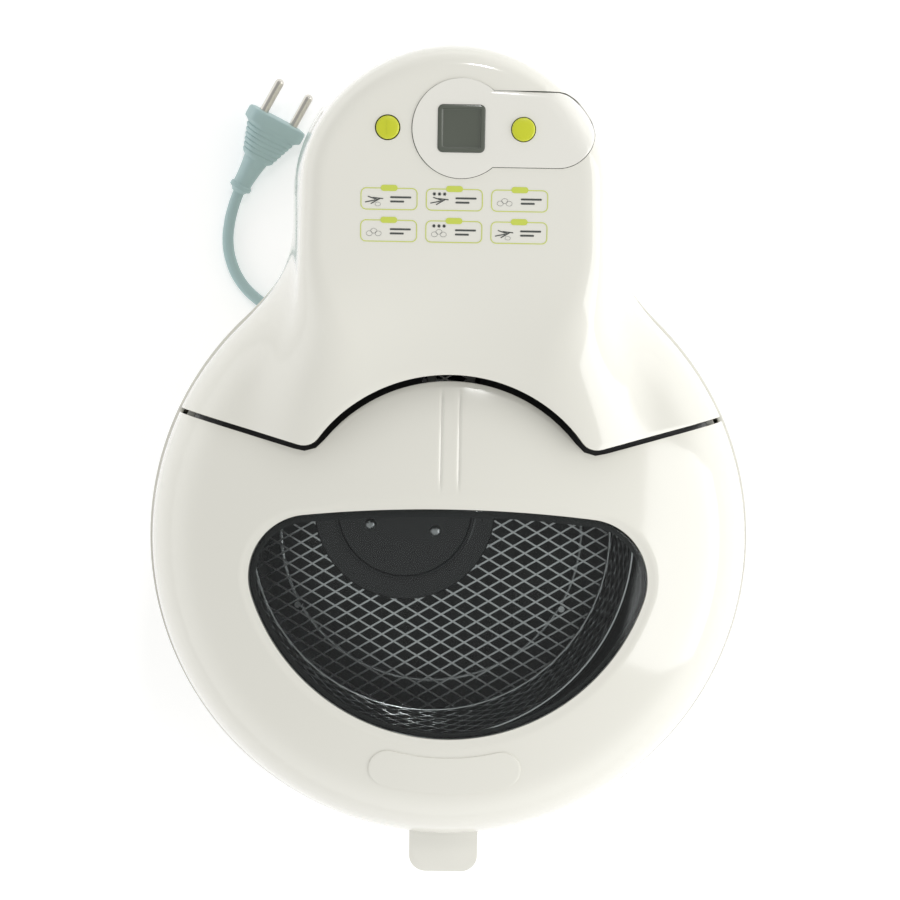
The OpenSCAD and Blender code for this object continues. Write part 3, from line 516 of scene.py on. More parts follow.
def tinted(nodes, links, shader, factor, colour, worn):
    """Base colour that wanders between two colours."""
    mix = nodes.new("ShaderNodeMix")
    mix.data_type = "RGBA"
    mix.inputs[6].default_value = (*colour, 1)
    mix.inputs[7].default_value = (*worn, 1)
    links.new(factor, mix.inputs[0])
    links.new(mix.outputs[2], shader.inputs["Base Color"])


def finish(name, colour, worn, rough, metal=0.0, coat=0.0, grain=900.0, depth=0.04, stretch=None):
    """A finish with a fine grain, patchy roughness and a little wear in its colour."""
    mat, nodes, links, shader, where = base_nodes(name)
    socket(shader, "Metallic", metal)
    socket(shader, "Coat Weight", coat)
    socket(shader, "Coat Roughness", 0.08)
    patches = noise(nodes, links, where, 14.0)
    fine = noise(nodes, links, where, grain, 2.0, stretch)
    tinted(nodes, links, shader, patches.outputs["Fac"], colour, worn)
    links.new(spread(nodes, links, patches.outputs["Fac"], rough[0], rough[1]), shader.inputs["Roughness"])
    bump(nodes, links, shader, fine.outputs["Fac"], depth, 0.0004)
    return mat


def white_gloss():
    return finish("white_gloss", (0.735, 0.725, 0.66), (0.72, 0.71, 0.64), (0.08, 0.14),
                  coat=0.6, grain=260, depth=0.012)


def inlay_gloss():
    return finish("inlay_gloss", (0.745, 0.735, 0.68), (0.73, 0.72, 0.66), (0.12, 0.2),
                  coat=0.4, grain=420, depth=0.02)


def black_plastic():
    return finish("black_texture", (0.012, 0.012, 0.013), (0.02, 0.02, 0.021), (0.32, 0.5),
                  grain=1500, depth=0.25)


def cover_gloss():
    return finish("cover_gloss", (0.008, 0.008, 0.009), (0.014, 0.014, 0.015), (0.12, 0.24),
                  coat=0.3, grain=300, depth=0.02)


def pan_coating():
    """Dark non-stick coating with pale speckles."""
    mat, nodes, links, shader, where = base_nodes("pan_coating")
    cells = nodes.new("ShaderNodeTexVoronoi")
    socket(cells, "Scale", 900.0)
    links.new(where.outputs["Object"], cells.inputs["Vector"])
    dots = nodes.new("ShaderNodeMath")
    dots.operation = "LESS_THAN"
    socket(dots, 1, 0.16)
    links.new(cells.outputs["Distance"], dots.inputs[0])
    tinted(nodes, links, shader, dots.outputs[0], (0.012, 0.012, 0.013), (0.11, 0.11, 0.11))
    patches = noise(nodes, links, where, 40.0)
    links.new(spread(nodes, links, patches.outputs["Fac"], 0.22, 0.4), shader.inputs["Roughness"])
    bump(nodes, links, shader, cells.outputs["Distance"], 0.05, 0.0003)
    return mat


def rubber(name, shade):
    return finish(name, (shade,) * 3, (shade * 1.5,) * 3, (0.6, 0.8), grain=1200, depth=0.3)


def lime_plastic():
    return finish("lime_satin", (0.56, 0.60, 0.02), (0.52, 0.55, 0.02), (0.28, 0.4),
                  coat=0.2, grain=700, depth=0.05)


def grey_plastic():
    return finish("grey_satin", (0.42, 0.42, 0.40), (0.37, 0.37, 0.36), (0.35, 0.5),
                  grain=900, depth=0.12)


def clear_window():
    """Clear pane: see-through, with a clean reflection that grows towards the edges."""
    mat, nodes, links, shader, where = base_nodes("clear_window")
    socket(shader, "Base Color", (0.9, 0.92, 0.92, 1))
    socket(shader, "Metallic", 1.0)
    smears = noise(nodes, links, where, 30.0)
    links.new(spread(nodes, links, smears.outputs["Fac"], 0.02, 0.07), shader.inputs["Roughness"])
    bump(nodes, links, shader, smears.outputs["Fac"], 0.01, 0.0005)
    clear = nodes.new("ShaderNodeBsdfTransparent")
    socket(clear, "Color", (0.9, 0.92, 0.915, 1))
    edge = nodes.new("ShaderNodeFresnel")
    socket(edge, "IOR", 1.32)
    mix = nodes.new("ShaderNodeMixShader")
    links.new(edge.outputs[0], mix.inputs[0])
    links.new(clear.outputs[0], mix.inputs[1])
    links.new(shader.outputs[0], mix.inputs[2])
    links.new(mix.outputs[0], nodes["Material Output"].inputs["Surface"])
    return mat


def display_dark():
    return finish("display_dark", (0.075, 0.085, 0.065), (0.085, 0.095, 0.075), (0.12, 0.2),
                  coat=0.5, grain=300, depth=0.01)


def board_green():
    return finish("board_green", (0.02, 0.12, 0.05), (0.03, 0.14, 0.06), (0.3, 0.45),
                  grain=600, depth=0.1)


def gear_nylon():
    return finish("gear_nylon", (0.75, 0.73, 0.66), (0.68, 0.66, 0.58), (0.4, 0.55),
                  grain=500, depth=0.1)


def bronze():
    return finish("bronze", (0.5, 0.33, 0.14), (0.42, 0.27, 0.12), (0.3, 0.45),
                  metal=1.0, grain=1400, depth=0.25)


def aluminium():
    return finish("aluminium", (0.58, 0.58, 0.59), (0.5, 0.5, 0.51), (0.25, 0.42),
                  metal=1.0, grain=60, depth=0.1,
                  stretch=(1, 1, 14))


def sheet_steel():
    return finish("sheet_steel", (0.55, 0.55, 0.56), (0.46, 0.46, 0.47), (0.28, 0.45),
                  metal=1.0, grain=90, depth=0.12,
                  stretch=(1, 1, 12))


def mesh_steel():
    return finish("mesh_steel", (0.83, 0.83, 0.84), (0.74, 0.74, 0.75), (0.16, 0.28),
                  metal=1.0, grain=700, depth=0.08)


def turned_steel():
    return finish("turned_steel", (0.62, 0.62, 0.63), (0.52, 0.52, 0.53), (0.22, 0.35),
                  metal=1.0, grain=900, depth=0.15)


def heated_steel():
    return finish("heated_steel", (0.24, 0.2, 0.17), (0.16, 0.15, 0.2), (0.35, 0.5),
                  metal=1.0, grain=500, depth=0.15)


def ceramic():
    return finish("ceramic", (0.78, 0.76, 0.7), (0.72, 0.7, 0.63), (0.18, 0.3),
                  coat=0.5, grain=300, depth=0.04)


def cord_sheath():
    return finish("cord_sheath", (0.37, 0.50, 0.50), (0.34, 0.47, 0.47), (0.38, 0.5),
                  grain=900, depth=0.1)


def tie_plastic():
    return finish("tie_plastic", (0.02, 0.02, 0.02), (0.03, 0.03, 0.03), (0.4, 0.55),
                  grain=900, depth=0.15)


def nickel():
    return finish("nickel", (0.68, 0.66, 0.61), (0.6, 0.58, 0.53), (0.12, 0.24),
                  metal=1.0, grain=900, depth=0.06)


FINISHES = {
    "white_shell": white_gloss,
    "inlay_plastic": inlay_gloss,
    "black_plastic": black_plastic,
    "pan_coating": pan_coating,
    "foot_rubber": lambda: rubber("foot_rubber", 0.015),
    "gasket_rubber": lambda: rubber("gasket_rubber", 0.012),
    "bumper_rubber": lambda: rubber("bumper_rubber", 0.3),
    "lime_plastic": lime_plastic,
    "grey_plastic": grey_plastic,
    "window_clear": clear_window,
    "display_dark": display_dark,
    "board_laminate": board_green,
    "gear_nylon": gear_nylon,
    "bronze_bush": bronze,
    "liner_aluminium": aluminium,
    "sheet_steel": sheet_steel,
    "mesh_steel": mesh_steel,
    "turned_steel": turned_steel,
    "element_steel": heated_steel,
    "thermostat_ceramic": ceramic,
    "cord_sheath": cord_sheath,
    "tie_plastic": tie_plastic,
    "pin_nickel": nickel,
}
MADE = {}


def material_of(slot):
    """The material of a record slot, made the first time that it is asked for."""
    if slot not in MADE:
        MADE[slot] = FINISHES[slot]()
    return MADE[slot]


# ---------------------------------------------------------------- shells

NECK_Y = 90 * MM
BLEND = 24 * MM             # fillet between the bowl and the head
FAR_REACH = 260 * MM        # farther than any point of the body from the neck
REACH_HALVINGS = 40
HEIGHT_HALVINGS = 26
SIDE_LEAN = 14 * MM         # how far the head's sides lean in at the panel's height
BACK_LEAN = 24 * MM
NECK_SLOPE = 0.5
NECK_ROUNDING = 36 * MM     # rounding of the neck's edges beside the seam
PANEL_ROUNDING = 9 * MM
BASE_LIP = 1.3 * MM         # how far the base swells out just under the lid


def capsule(x, y):
    """Distance in plan from the middle line of the head."""
    return math.hypot(x, y - min(HEAD_Y, max(0.0, y)))


def body_half(r, z):
    """A half-width of the body at a height, narrower towards the ground."""
    return r - BODY_TAPER * (1 - math.sin(math.pi / 2 * (z - BASE_Z) / (DECK_Z - BASE_Z)))


def outline_reach(turn, rb, rh):
    """How far the body's outline lies from the neck's middle, in a direction."""
    low, high = 0.0, FAR_REACH
    for _ in range(REACH_HALVINGS):
        mid = (low + high) / 2
        x = mid * math.cos(turn)
        y = NECK_Y + mid * math.sin(turn)
        if smooth_min(math.hypot(x, y) - rb, capsule(x, y) - rh, BLEND) < 0:
            low = mid
        else:
            high = mid
    return low


def outline_ring(z, inset, count):
    """The body's outline at a height, drawn in by inset."""
    lip = BASE_LIP * smooth_step(100 * MM, 107 * MM, z)
    rb = body_half(BOWL_R, z) - inset + lip
    rh = body_half(HEAD_R, z) - inset
    ring = []
    for i in range(count):
        turn = 2 * math.pi * i / count
        reach = outline_reach(turn, rb, rh)
        ring.append((reach * math.cos(turn), BOWL_Y + NECK_Y + reach * math.sin(turn), z))
    return ring


def dome_distance(r, z):
    """How far a point lies outside the dome of the rear housing."""
    z = z - SEAM_STEP
    turn = math.atan2(r - SHOULDER_CR, z - SHOULDER_CZ)
    if turn < CROWN_SLOPE:
        return math.hypot(r, z - CROWN_Z + CROWN_R) - CROWN_R
    if turn < SKIRT_SLOPE:
        return math.hypot(r - SHOULDER_CR, z - SHOULDER_CZ) - SHOULDER_BEND
    return r - SHOULDER_R1 - (RIM_Z + 23 * MM - z) * 4 / 29


def head_distance(x, y, z):
    """How far a point lies outside the head with its sloping panel and its neck."""
    rise = max(0.0, z - DECK_Z) / (PANEL_BACK_Z - DECK_Z)
    lean = lerp(SIDE_LEAN, BACK_LEAN, smooth_step(HEAD_Y, HEAD_Y + HEAD_R, y))
    flank = capsule(x, y) - (HEAD_R - lean * rise * rise)
    neck = crown_at(SEAM_R) + SEAM_STEP + (math.hypot(x, y) - SEAM_R) * NECK_SLOPE
    top = (z - smooth_min(panel_z(y), neck, 7 * MM)) * math.cos(PANEL_TILT)
    rounding = lerp(NECK_ROUNDING, PANEL_ROUNDING, smooth_step(60 * MM, 130 * MM, y))
    return -smooth_min(-flank, -top, rounding)


def rear_height(x, y):
    """Height of the rear housing's surface over a place in plan."""
    low, high = DECK_Z, ROOF_Z
    r = math.hypot(x, y)
    for _ in range(HEIGHT_HALVINGS):
        mid = (low + high) / 2
        if smooth_min(dome_distance(r, mid), head_distance(x, y, mid), BLEND) < 0:
            low = mid
        else:
            high = mid
    return low


def inlay_plan(grow):
    """Outline of the control inlay: a disc with a round-ended arm."""
    r, half = INLAY_DISC_R + grow, INLAY_ARM_R + grow
    arm = INLAY_END_X - INLAY_ARM_R - INLAY_X
    start = math.degrees(math.asin(half / r))
    return (arc_points(0, 0, r, start, 360 - start, 60)
            + arc_points(arm, 0, half, -90, 90, 30))


def seam_edge(shift, end, count):
    """Points along the right half of the seam, from the middle out."""
    xs = [end * i / 400 for i in range(401)]
    return resampled([(x, seam_y(x, shift), 0) for x in xs], count)


class FRYER_PG_shells(bpy.types.PropertyGroup):
    """Sizes of the visual shells."""
    edge: bpy.props.FloatProperty(
        name="Edge radius", description="Rounding of the shells' free edges",
        default=0.0007, unit="LENGTH")
    lip: bpy.props.FloatProperty(
        name="Lip depth", description="How far the lid dips at the window",
        default=0.0011, unit="LENGTH")
    lip_width: bpy.props.FloatProperty(
        name="Lip width", description="Width of the dipping band round the window",
        default=0.005, unit="LENGTH")
    groove: bpy.props.FloatProperty(
        name="Groove depth", description="Depth of the two grooves on the lid",
        default=0.0006, unit="LENGTH")
    columns: bpy.props.IntProperty(
        name="Columns", description="Columns of faces in half a rear housing", default=72, min=24)


class FRYER_OT_lid(bpy.types.Operator):
    """Moulded lid cover with its window lip, grooves and blank plaque"""
    bl_idname = "fryer.lid"
    bl_label = "Lid cover"

    def execute(self, context):
        sizes = context.scene.fryer_shells
        inner, outer = self.loops()
        steps = [0, 0.7, 1.6, 2.6, 3.6, 4.6, 5.6, 7.5]
        rings = []
        for d in steps:
            rings.append([self.point(a, b, d * MM / (b - a).length, sizes) for a, b in zip(inner, outer)])
        for i in range(1, 27):
            part = 1 - (1 - i / 26) ** 1.5
            ring = []
            for a, b in zip(inner, outer):
                first = steps[-1] * MM / (b - a).length
                ring.append(self.point(a, b, lerp(first, 1, part), sizes))
            rings.append(ring)
        bm = mirror_x(ring_stack(rings, close=False))
        lid = thicken(to_piece(bm, "lid_cover", inside=(0, BOWL_Y, 0)), LID_T, sizes.edge)
        self.notch(lid)
        place(lid, "lid", "white_shell", ["lid_shell"])
        self.plaque()
        return {"FINISHED"}

    def loops(self):
        """Matching points of the window's outline and of the lid's edge, both unrolled."""
        xs = [0, 1.5, 2.6, 3.2, 3.6, 4, 4.4, 4.8, 5.4, 7, 9, 12, 15, 18, 21, 24, 27, 30, 33, 36]
        inner = [(x * MM, window_top_y(x * MM)) for x in xs]
        outer = [(x * MM, seam_y(x * MM, -SEAM_GAP / 2)) for x in xs]
        half = 0.30
        side = [window_side(half * i / 400) for i in range(401)]
        side = [p for p in side if p[0] >= 40 * MM]
        inner += [(p.x, p.y) for p in resampled([(*p, 0) for p in side], 26)]
        end = seam_end(-SEAM_GAP / 2, BOWL_R - 0.01 * MM)
        edge = [lerp(40 * MM, end, i / 400) for i in range(401)]
        edge = [self.unrolled(x, seam_y(x, -SEAM_GAP / 2)) for x in edge]
        flat = [self.unrolled(*p) for p in outer]
        flat += resampled([(p.x, p.y, 0) for p in edge], 26)
        front = [window_side(lerp(half, 1, i / 64)) for i in range(1, 65)]
        inner += front
        turn0 = math.atan2(seam_y(end, -SEAM_GAP / 2), end)
        run = dome_run(BOWL_R)
        for i in range(1, 65):
            a = lerp(turn0, -math.pi / 2, i / 64)
            flat.append(Vector((run * math.cos(a), run * math.sin(a), 0)))
        return [self.unrolled(*p) for p in inner], [Vector((p.x, p.y, 0)) for p in flat]

    def unrolled(self, x, y):
        """A place on the lid, laid flat so that runs along the outline keep their length."""
        r = math.hypot(x, y)
        run = dome_run(min(r, BOWL_R))
        return Vector((x / r * run, y / r * run, 0))

    def point(self, a, b, part, sizes):
        """A place on the lid between the window and the edge, with the lip and the grooves."""
        flat = a.lerp(b, part)
        run = min(math.hypot(flat.x, flat.y), dome_run(BOWL_R))
        r, z = dome_point(run)
        x, y = flat.x / flat.length * r, flat.y / flat.length * r
        gone = (b - a).length * part
        z -= sizes.lip * (1 - smooth_step(0, sizes.lip_width, gone))
        if r < SHOULDER_R0 and y > 0:
            across = math.exp(-((abs(x) - 4 * MM) / (0.55 * MM)) ** 2)
            along = smooth_step(22 * MM, 28 * MM, y) * (1 - smooth_step(62 * MM, 68 * MM, y))
            z -= sizes.groove * across * along
        return Vector((max(0.0, x), y + BOWL_Y, z))

    def notch(self, lid):
        """Makes room for the latch tongue."""
        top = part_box("lid_latch")[1].z + 1 * MM
        bm = box_mesh((-17 * MM, BOWL_Y - 200 * MM, 50 * MM), (17 * MM, BOWL_Y - 120 * MM, top))
        round_edges(bm, 2 * MM, 3, 60)
        carve(lid, to_piece(bm, "notch"))

    def plaque(self):
        """Blank raised plaque in front of the window."""
        rows, columns = 12, 48
        half_w, mid_r, half_h = 26 * MM, 106 * MM, 8.5 * MM
        rings = []
        for i in range(rows + 1):
            v = math.sin(math.pi / 2 * (2 * i / rows - 1))
            reach = half_w + half_h * math.sqrt(max(0.0, 1 - v * v))
            r = mid_r + v * half_h
            ring = []
            for j in range(columns + 1):
                turn = -math.pi / 2 + reach * (2 * j / columns - 1) / mid_r
                run = dome_run(r)
                rr, z = dome_point(run)
                ring.append((rr * math.cos(turn), BOWL_Y + rr * math.sin(turn), z + 0.5 * MM))
            rings.append(ring)
        bm = ring_stack(rings, close=False)
        plaque = to_piece(bm, "lid_plaque", inside=(0, BOWL_Y, 0))
        thicken(plaque, 1.2 * MM, 0.35 * MM)
        place(plaque, "lid", "white_shell")


class FRYER_OT_window(bpy.types.Operator):
    """Curved clear window pane"""
    bl_idname = "fryer.window"
    bl_label = "Window"

    def execute(self, context):
        hub_y = -30 * MM
        shares = [1 - 0.3 * MM / WINDOW_R - (i / 18) ** 1.4 * 0.985 for i in range(17)] + [0.02]
        rings = []
        for share in shares:
            ring = []
            for j in range(97):
                x, y = window_side(j / 96)
                x, y = x * share, lerp(hub_y, y, share)
                ring.append((x, y + BOWL_Y, crown_at(math.hypot(x, y)) - 1.1 * MM))
            rings.append(ring)
        bm = mirror_x(ring_stack(rings, close=False))
        close_hub(bm, 0, BOWL_Y + hub_y, 4 * MM)
        pane = thicken(to_piece(bm, "window_pane", inside=(0, BOWL_Y, 0)), WINDOW_T, 0.5 * MM)
        place(pane, "lid", "window_clear", ["lid_window"])
        return {"FINISHED"}


class FRYER_OT_rear(bpy.types.Operator):
    """Upper rear housing, blended between the dome and the head"""
    bl_idname = "fryer.rear"
    bl_label = "Rear housing"

    def execute(self, context):
        sizes = context.scene.fryer_shells
        count = sizes.columns
        end = seam_end(SEAM_GAP / 2, BOWL_R)
        seam = seam_edge(SEAM_GAP / 2, end, count)
        stop = math.atan2(seam_y(end, SEAM_GAP / 2) - NECK_Y, end)
        turns = [lerp(math.pi / 2, stop, i / 600) for i in range(601)]
        rim = []
        for turn in turns:
            reach = outline_reach(turn, BOWL_R, HEAD_R)
            rim.append((max(0.0, reach * math.cos(turn)), NECK_Y + reach * math.sin(turn), 0))
        rim = resampled(rim, count)
        columns = [self.column(a, b) for a, b in zip(seam[:-1], rim[:-1])]
        columns.append([Vector((rim[-1].x, rim[-1].y + BOWL_Y, DECK_Z))] * len(columns[0]))
        bm = mirror_x(ring_stack(columns, close=False))
        housing = to_piece(bm, "rear_housing", inside=(0, BOWL_Y + NECK_Y, 0.08))
        thicken(housing, SHELL_T, sizes.edge)
        cutter = slab(inlay_plan(0.3 * MM), -22 * MM, 9 * MM)
        carve(housing, to_piece(on_panel(cutter, INLAY_X, CONTROLS_Y), "inlay_cut"))
        hole = slab(arc_points(0, 0, BUTTON_R + 0.45 * MM, 0, 354, 59), -12 * MM, 9 * MM)
        carve(housing, to_piece(on_panel(hole, -BUTTON_X, CONTROLS_Y), "button_cut"))
        place(housing, "base", "white_shell", ["rear_cover"])
        return {"FINISHED"}

    def column(self, a, b):
        """Points up the housing's surface from the outline's foot to the seam, evenly spaced."""
        fine = []
        for i in range(141):
            part = 1 - (1 - i / 140) ** 2.2
            x, y = lerp(a.x, b.x, part), lerp(a.y, b.y, part)
            fine.append((x, y + BOWL_Y, rear_height(x, y)))
        fine[-1] = (b.x, b.y + BOWL_Y, DECK_Z)
        return resampled(fine, 52)


class FRYER_OT_base(bpy.types.Operator):
    """Lower housing with its deck"""
    bl_idname = "fryer.base"
    bl_label = "Base housing"

    def execute(self, context):
        sizes = context.scene.fryer_shells
        levels = [8, 8.3, 8.8, 9.6, 11, 14] + [20 + 8 * i for i in range(12)] + [111.4, 112]
        rings = []
        for level in levels:
            inset = 0.0
            if level < 11:
                inset = 3 * MM * (1 - math.sqrt(1 - ((11 - level) / 3) ** 2))
            rings.append(outline_ring(level * MM, inset, 240))
        base = to_piece(ring_stack(rings), "base_shell", inside=(0, BOWL_Y + NECK_Y, 0.06))
        thicken(base, SHELL_T, sizes.edge)
        inner = BOWL_R - 22.5 * MM
        outer = BOWL_R - 3.5 * MM
        under = DECK_Z - SHELL_T
        profile = [(inner, under), (outer, under), (outer, DECK_Z), (inner, DECK_Z)]
        deck = spun(profile, (0, BOWL_Y, 0), closed=True)
        round_edges(deck, 0.6 * MM, 2)
        deck = to_piece(deck, "deck_ring")
        for piece in (base, deck):
            carve(piece, self.front_notch())
        way_out = box_mesh((-200 * MM, BOWL_Y + 101 * MM, 0), (-46 * MM, BOWL_Y + 123 * MM, 20 * MM))
        carve(base, to_piece(way_out, "way_out"))
        for piece in (base, deck):
            place(piece, "base", "white_shell", ["base_housing"])
        return {"FINISHED"}

    def front_notch(self):
        """Makes room for the pan's bracket and handle."""
        low = (-15 * MM, BOWL_Y - BOWL_R - 5 * MM, DECK_Z - 20 * MM)
        high = (15 * MM, BOWL_Y - BOWL_R + 35 * MM, DECK_Z + 10 * MM)
        return to_piece(box_mesh(low, high), "front_notch")


# ---------------------------------------------------------------- basket and pan

class FRYER_PG_mesh(bpy.types.PropertyGroup):
    """Sizes of the expanded metal mesh."""
    long_way: bpy.props.FloatProperty(
        name="Long way", description="Long diagonal of a mesh opening", default=0.0119, unit="LENGTH")
    short_way: bpy.props.FloatProperty(
        name="Short way", description="Short diagonal of a mesh opening", default=0.007, unit="LENGTH")
    strand: bpy.props.FloatProperty(
        name="Strand", description="Width of a strand", default=0.0009, unit="LENGTH")
    gauge: bpy.props.FloatProperty(
        name="Gauge", description="Thickness of the mesh", default=0.0008, unit="LENGTH")


class FRYER_OT_basket(bpy.types.Operator):
    """Basket of expanded metal: a round floor and a sloping wall, with bright wires"""
    bl_idname = "fryer.basket"
    bl_label = "Mesh basket"

    def execute(self, context):
        sizes = context.scene.fryer_mesh
        low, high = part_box("mesh_basket")
        self.at = Vector(((low.x + high.x) / 2, (low.y + high.y) / 2, 0))
        self.top_r = (high.x - low.x) / 2
        self.floor_r = self.top_r - 8.5 * MM
        self.floor_z = low.z
        self.top_z = high.z
        parts = join_bm([self.floor(sizes), self.wall(sizes)])
        mesh = to_piece(parts, "basket_mesh")
        wall = mesh.modifiers.new("gauge", "SOLIDIFY")
        wall.thickness = sizes.gauge
        wall.offset = 0
        settle(mesh)
        round_piece(mesh, 0.22 * MM, 1)
        mesh.data.shade_smooth()
        place(mesh, "base", "mesh_steel", ["mesh_basket"])
        place(self.wires(), "base", "mesh_steel", ["basket_rim"])
        return {"FINISHED"}

    def diamonds(self, sizes, width, depth):
        """A flat sheet of diamond openings over a width and a depth."""
        bm = bmesh.new()
        n = int(2.2 * max(width / sizes.long_way, depth / sizes.short_way)) + 4
        bmesh.ops.create_grid(bm, x_segments=n, y_segments=n, size=n / 2)
        turn_z(bm, 45)
        half = math.sqrt(0.5)
        bmesh.ops.scale(bm, vec=(sizes.long_way * half, sizes.short_way * half, 1), verts=bm.verts)
        gone = [f for f in bm.faces if abs(f.calc_center_median().x) > width / 2 + sizes.long_way
                or abs(f.calc_center_median().y) > depth / 2 + sizes.short_way]
        bmesh.ops.delete(bm, geom=gone, context="FACES")
        cells = bm.faces[:]
        bmesh.ops.inset_individual(bm, faces=cells, thickness=sizes.strand / 2, use_even_offset=True)
        bmesh.ops.delete(bm, geom=cells, context="FACES")
        return bm

    def clip(self, bm, spot, normal):
        """Removes what lies past a plane."""
        geom = bm.verts[:] + bm.edges[:] + bm.faces[:]
        bmesh.ops.bisect_plane(bm, geom=geom, dist=1e-7, plane_co=spot, plane_no=normal,
                               clear_outer=True)

    def floor(self, sizes):
        """The basket's floor: a sheet of mesh trimmed to a circle."""
        bm = self.diamonds(sizes, 2 * self.floor_r, 2 * self.floor_r)
        for i in range(48):
            a = 2 * math.pi * i / 48
            out = Vector((math.cos(a), math.sin(a), 0))
            self.clip(bm, out * self.floor_r, out)
        bmesh.ops.translate(bm, vec=self.at + Vector((0, 0, self.floor_z + 0.6 * MM)), verts=bm.verts)
        return bm

    def wall(self, sizes):
        """A strip of mesh wrapped round the basket's sloping side."""
        around = 50
        width = around * sizes.long_way
        rise = self.top_z - self.floor_z
        slant = math.hypot(rise, self.top_r - self.floor_r)
        bm = self.diamonds(sizes, width, slant)
        self.clip(bm, Vector((width / 2, 0, 0)), Vector((1, 0, 0)))
        self.clip(bm, Vector((-width / 2, 0, 0)), Vector((-1, 0, 0)))
        self.clip(bm, Vector((0, slant / 2, 0)), Vector((0, 1, 0)))
        self.clip(bm, Vector((0, -slant / 2, 0)), Vector((0, -1, 0)))
        for v in bm.verts:
            part = v.co.y / slant + 0.5
            turn = 2 * math.pi * v.co.x / width
            r = lerp(self.floor_r, self.top_r - 0.6 * MM, part)
            z = lerp(self.floor_z + 0.6 * MM, self.top_z, part)
            v.co = self.at + Vector((r * math.cos(turn), r * math.sin(turn), z))
        bmesh.ops.remove_doubles(bm, verts=bm.verts, dist=2e-5)
        return bm

    def wire(self, r, z, thick):
        """A closed ring of wire."""
        turns = [2 * math.pi * i / 14 for i in range(14)]
        profile = [(r + thick * math.cos(a), z + thick * math.sin(a)) for a in turns]
        return spun(profile, self.at, 120, closed=True)

    def wires(self):
        """The rim, the floor's edge and the standing ring with its legs."""
        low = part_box("basket_rim")[0]
        thick = 1.6 * MM
        stand_r = self.floor_r - 14 * MM
        parts = [self.wire(self.top_r - 0.6 * MM, self.top_z + thick, thick),
                 self.wire(self.floor_r - 0.4 * MM, self.floor_z + 0.6 * MM, 1.1 * MM),
                 self.wire(stand_r, low.z + thick, thick)]
        for a in (90, 210, 330):
            turn = math.radians(a)
            leg = bmesh.new()
            tall = self.floor_z - low.z
            bmesh.ops.create_cone(leg, cap_ends=True, segments=20, radius1=thick, radius2=thick,
                                  depth=tall)
            out = Vector((stand_r * math.cos(turn), stand_r * math.sin(turn), 0))
            spot = self.at + out + Vector((0, 0, low.z + tall / 2))
            bmesh.ops.translate(leg, vec=spot, verts=leg.verts)
            parts.append(leg)
        return to_piece(join_bm(parts), "basket_wires")


class FRYER_OT_pan(bpy.types.Operator):
    """Coated pan with a rolled rim and a hub for the drive"""
    bl_idname = "fryer.pan"
    bl_label = "Pan"

    def execute(self, context):
        low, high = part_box("pan")
        rim_r = (high.x - low.x) / 2
        wall = 2 * MM
        bead = 1.6 * MM
        inner_r = rim_r - wall
        floor_r = inner_r - 14 * MM
        turn_r = 8 * MM
        bore_r = 6.2 * MM
        outside = [(bore_r, low.z), (floor_r - 4 * MM, low.z)]
        outside += self.bend(floor_r - 4 * MM, low.z + turn_r, turn_r, -90, -25)
        outside += [(rim_r - 1.2 * MM, high.z - 3 * MM)]
        outside += self.bend(rim_r - bead * 0.6, high.z - bead * 0.62, bead * 0.6, -20, 200)
        inside = [(inner_r - 1.2 * MM, high.z - 4 * MM)]
        inside += self.bend(floor_r - 6 * MM, low.z + wall + turn_r, turn_r, -25, -90)
        inside += [(14 * MM, low.z + wall), (10 * MM, low.z + wall + 0.6 * MM)]
        inside += [(8.6 * MM, low.z + 6 * MM), (8 * MM, low.z + 7.6 * MM)]
        inside += [(7.2 * MM, low.z + 8 * MM), (bore_r, low.z + 7.6 * MM)]
        bm = spun(outside + inside, (0, BOWL_Y, 0), 120, closed=True)
        place(to_piece(bm, "coated_pan", 60), "base", "pan_coating", ["pan"])
        return {"FINISHED"}

    def bend(self, r, z, size, a0, a1):
        """Points round a bend of the pan's section."""
        return arc_points(r, z, size, a0, a1, 8)


# ---------------------------------------------------------------- controls

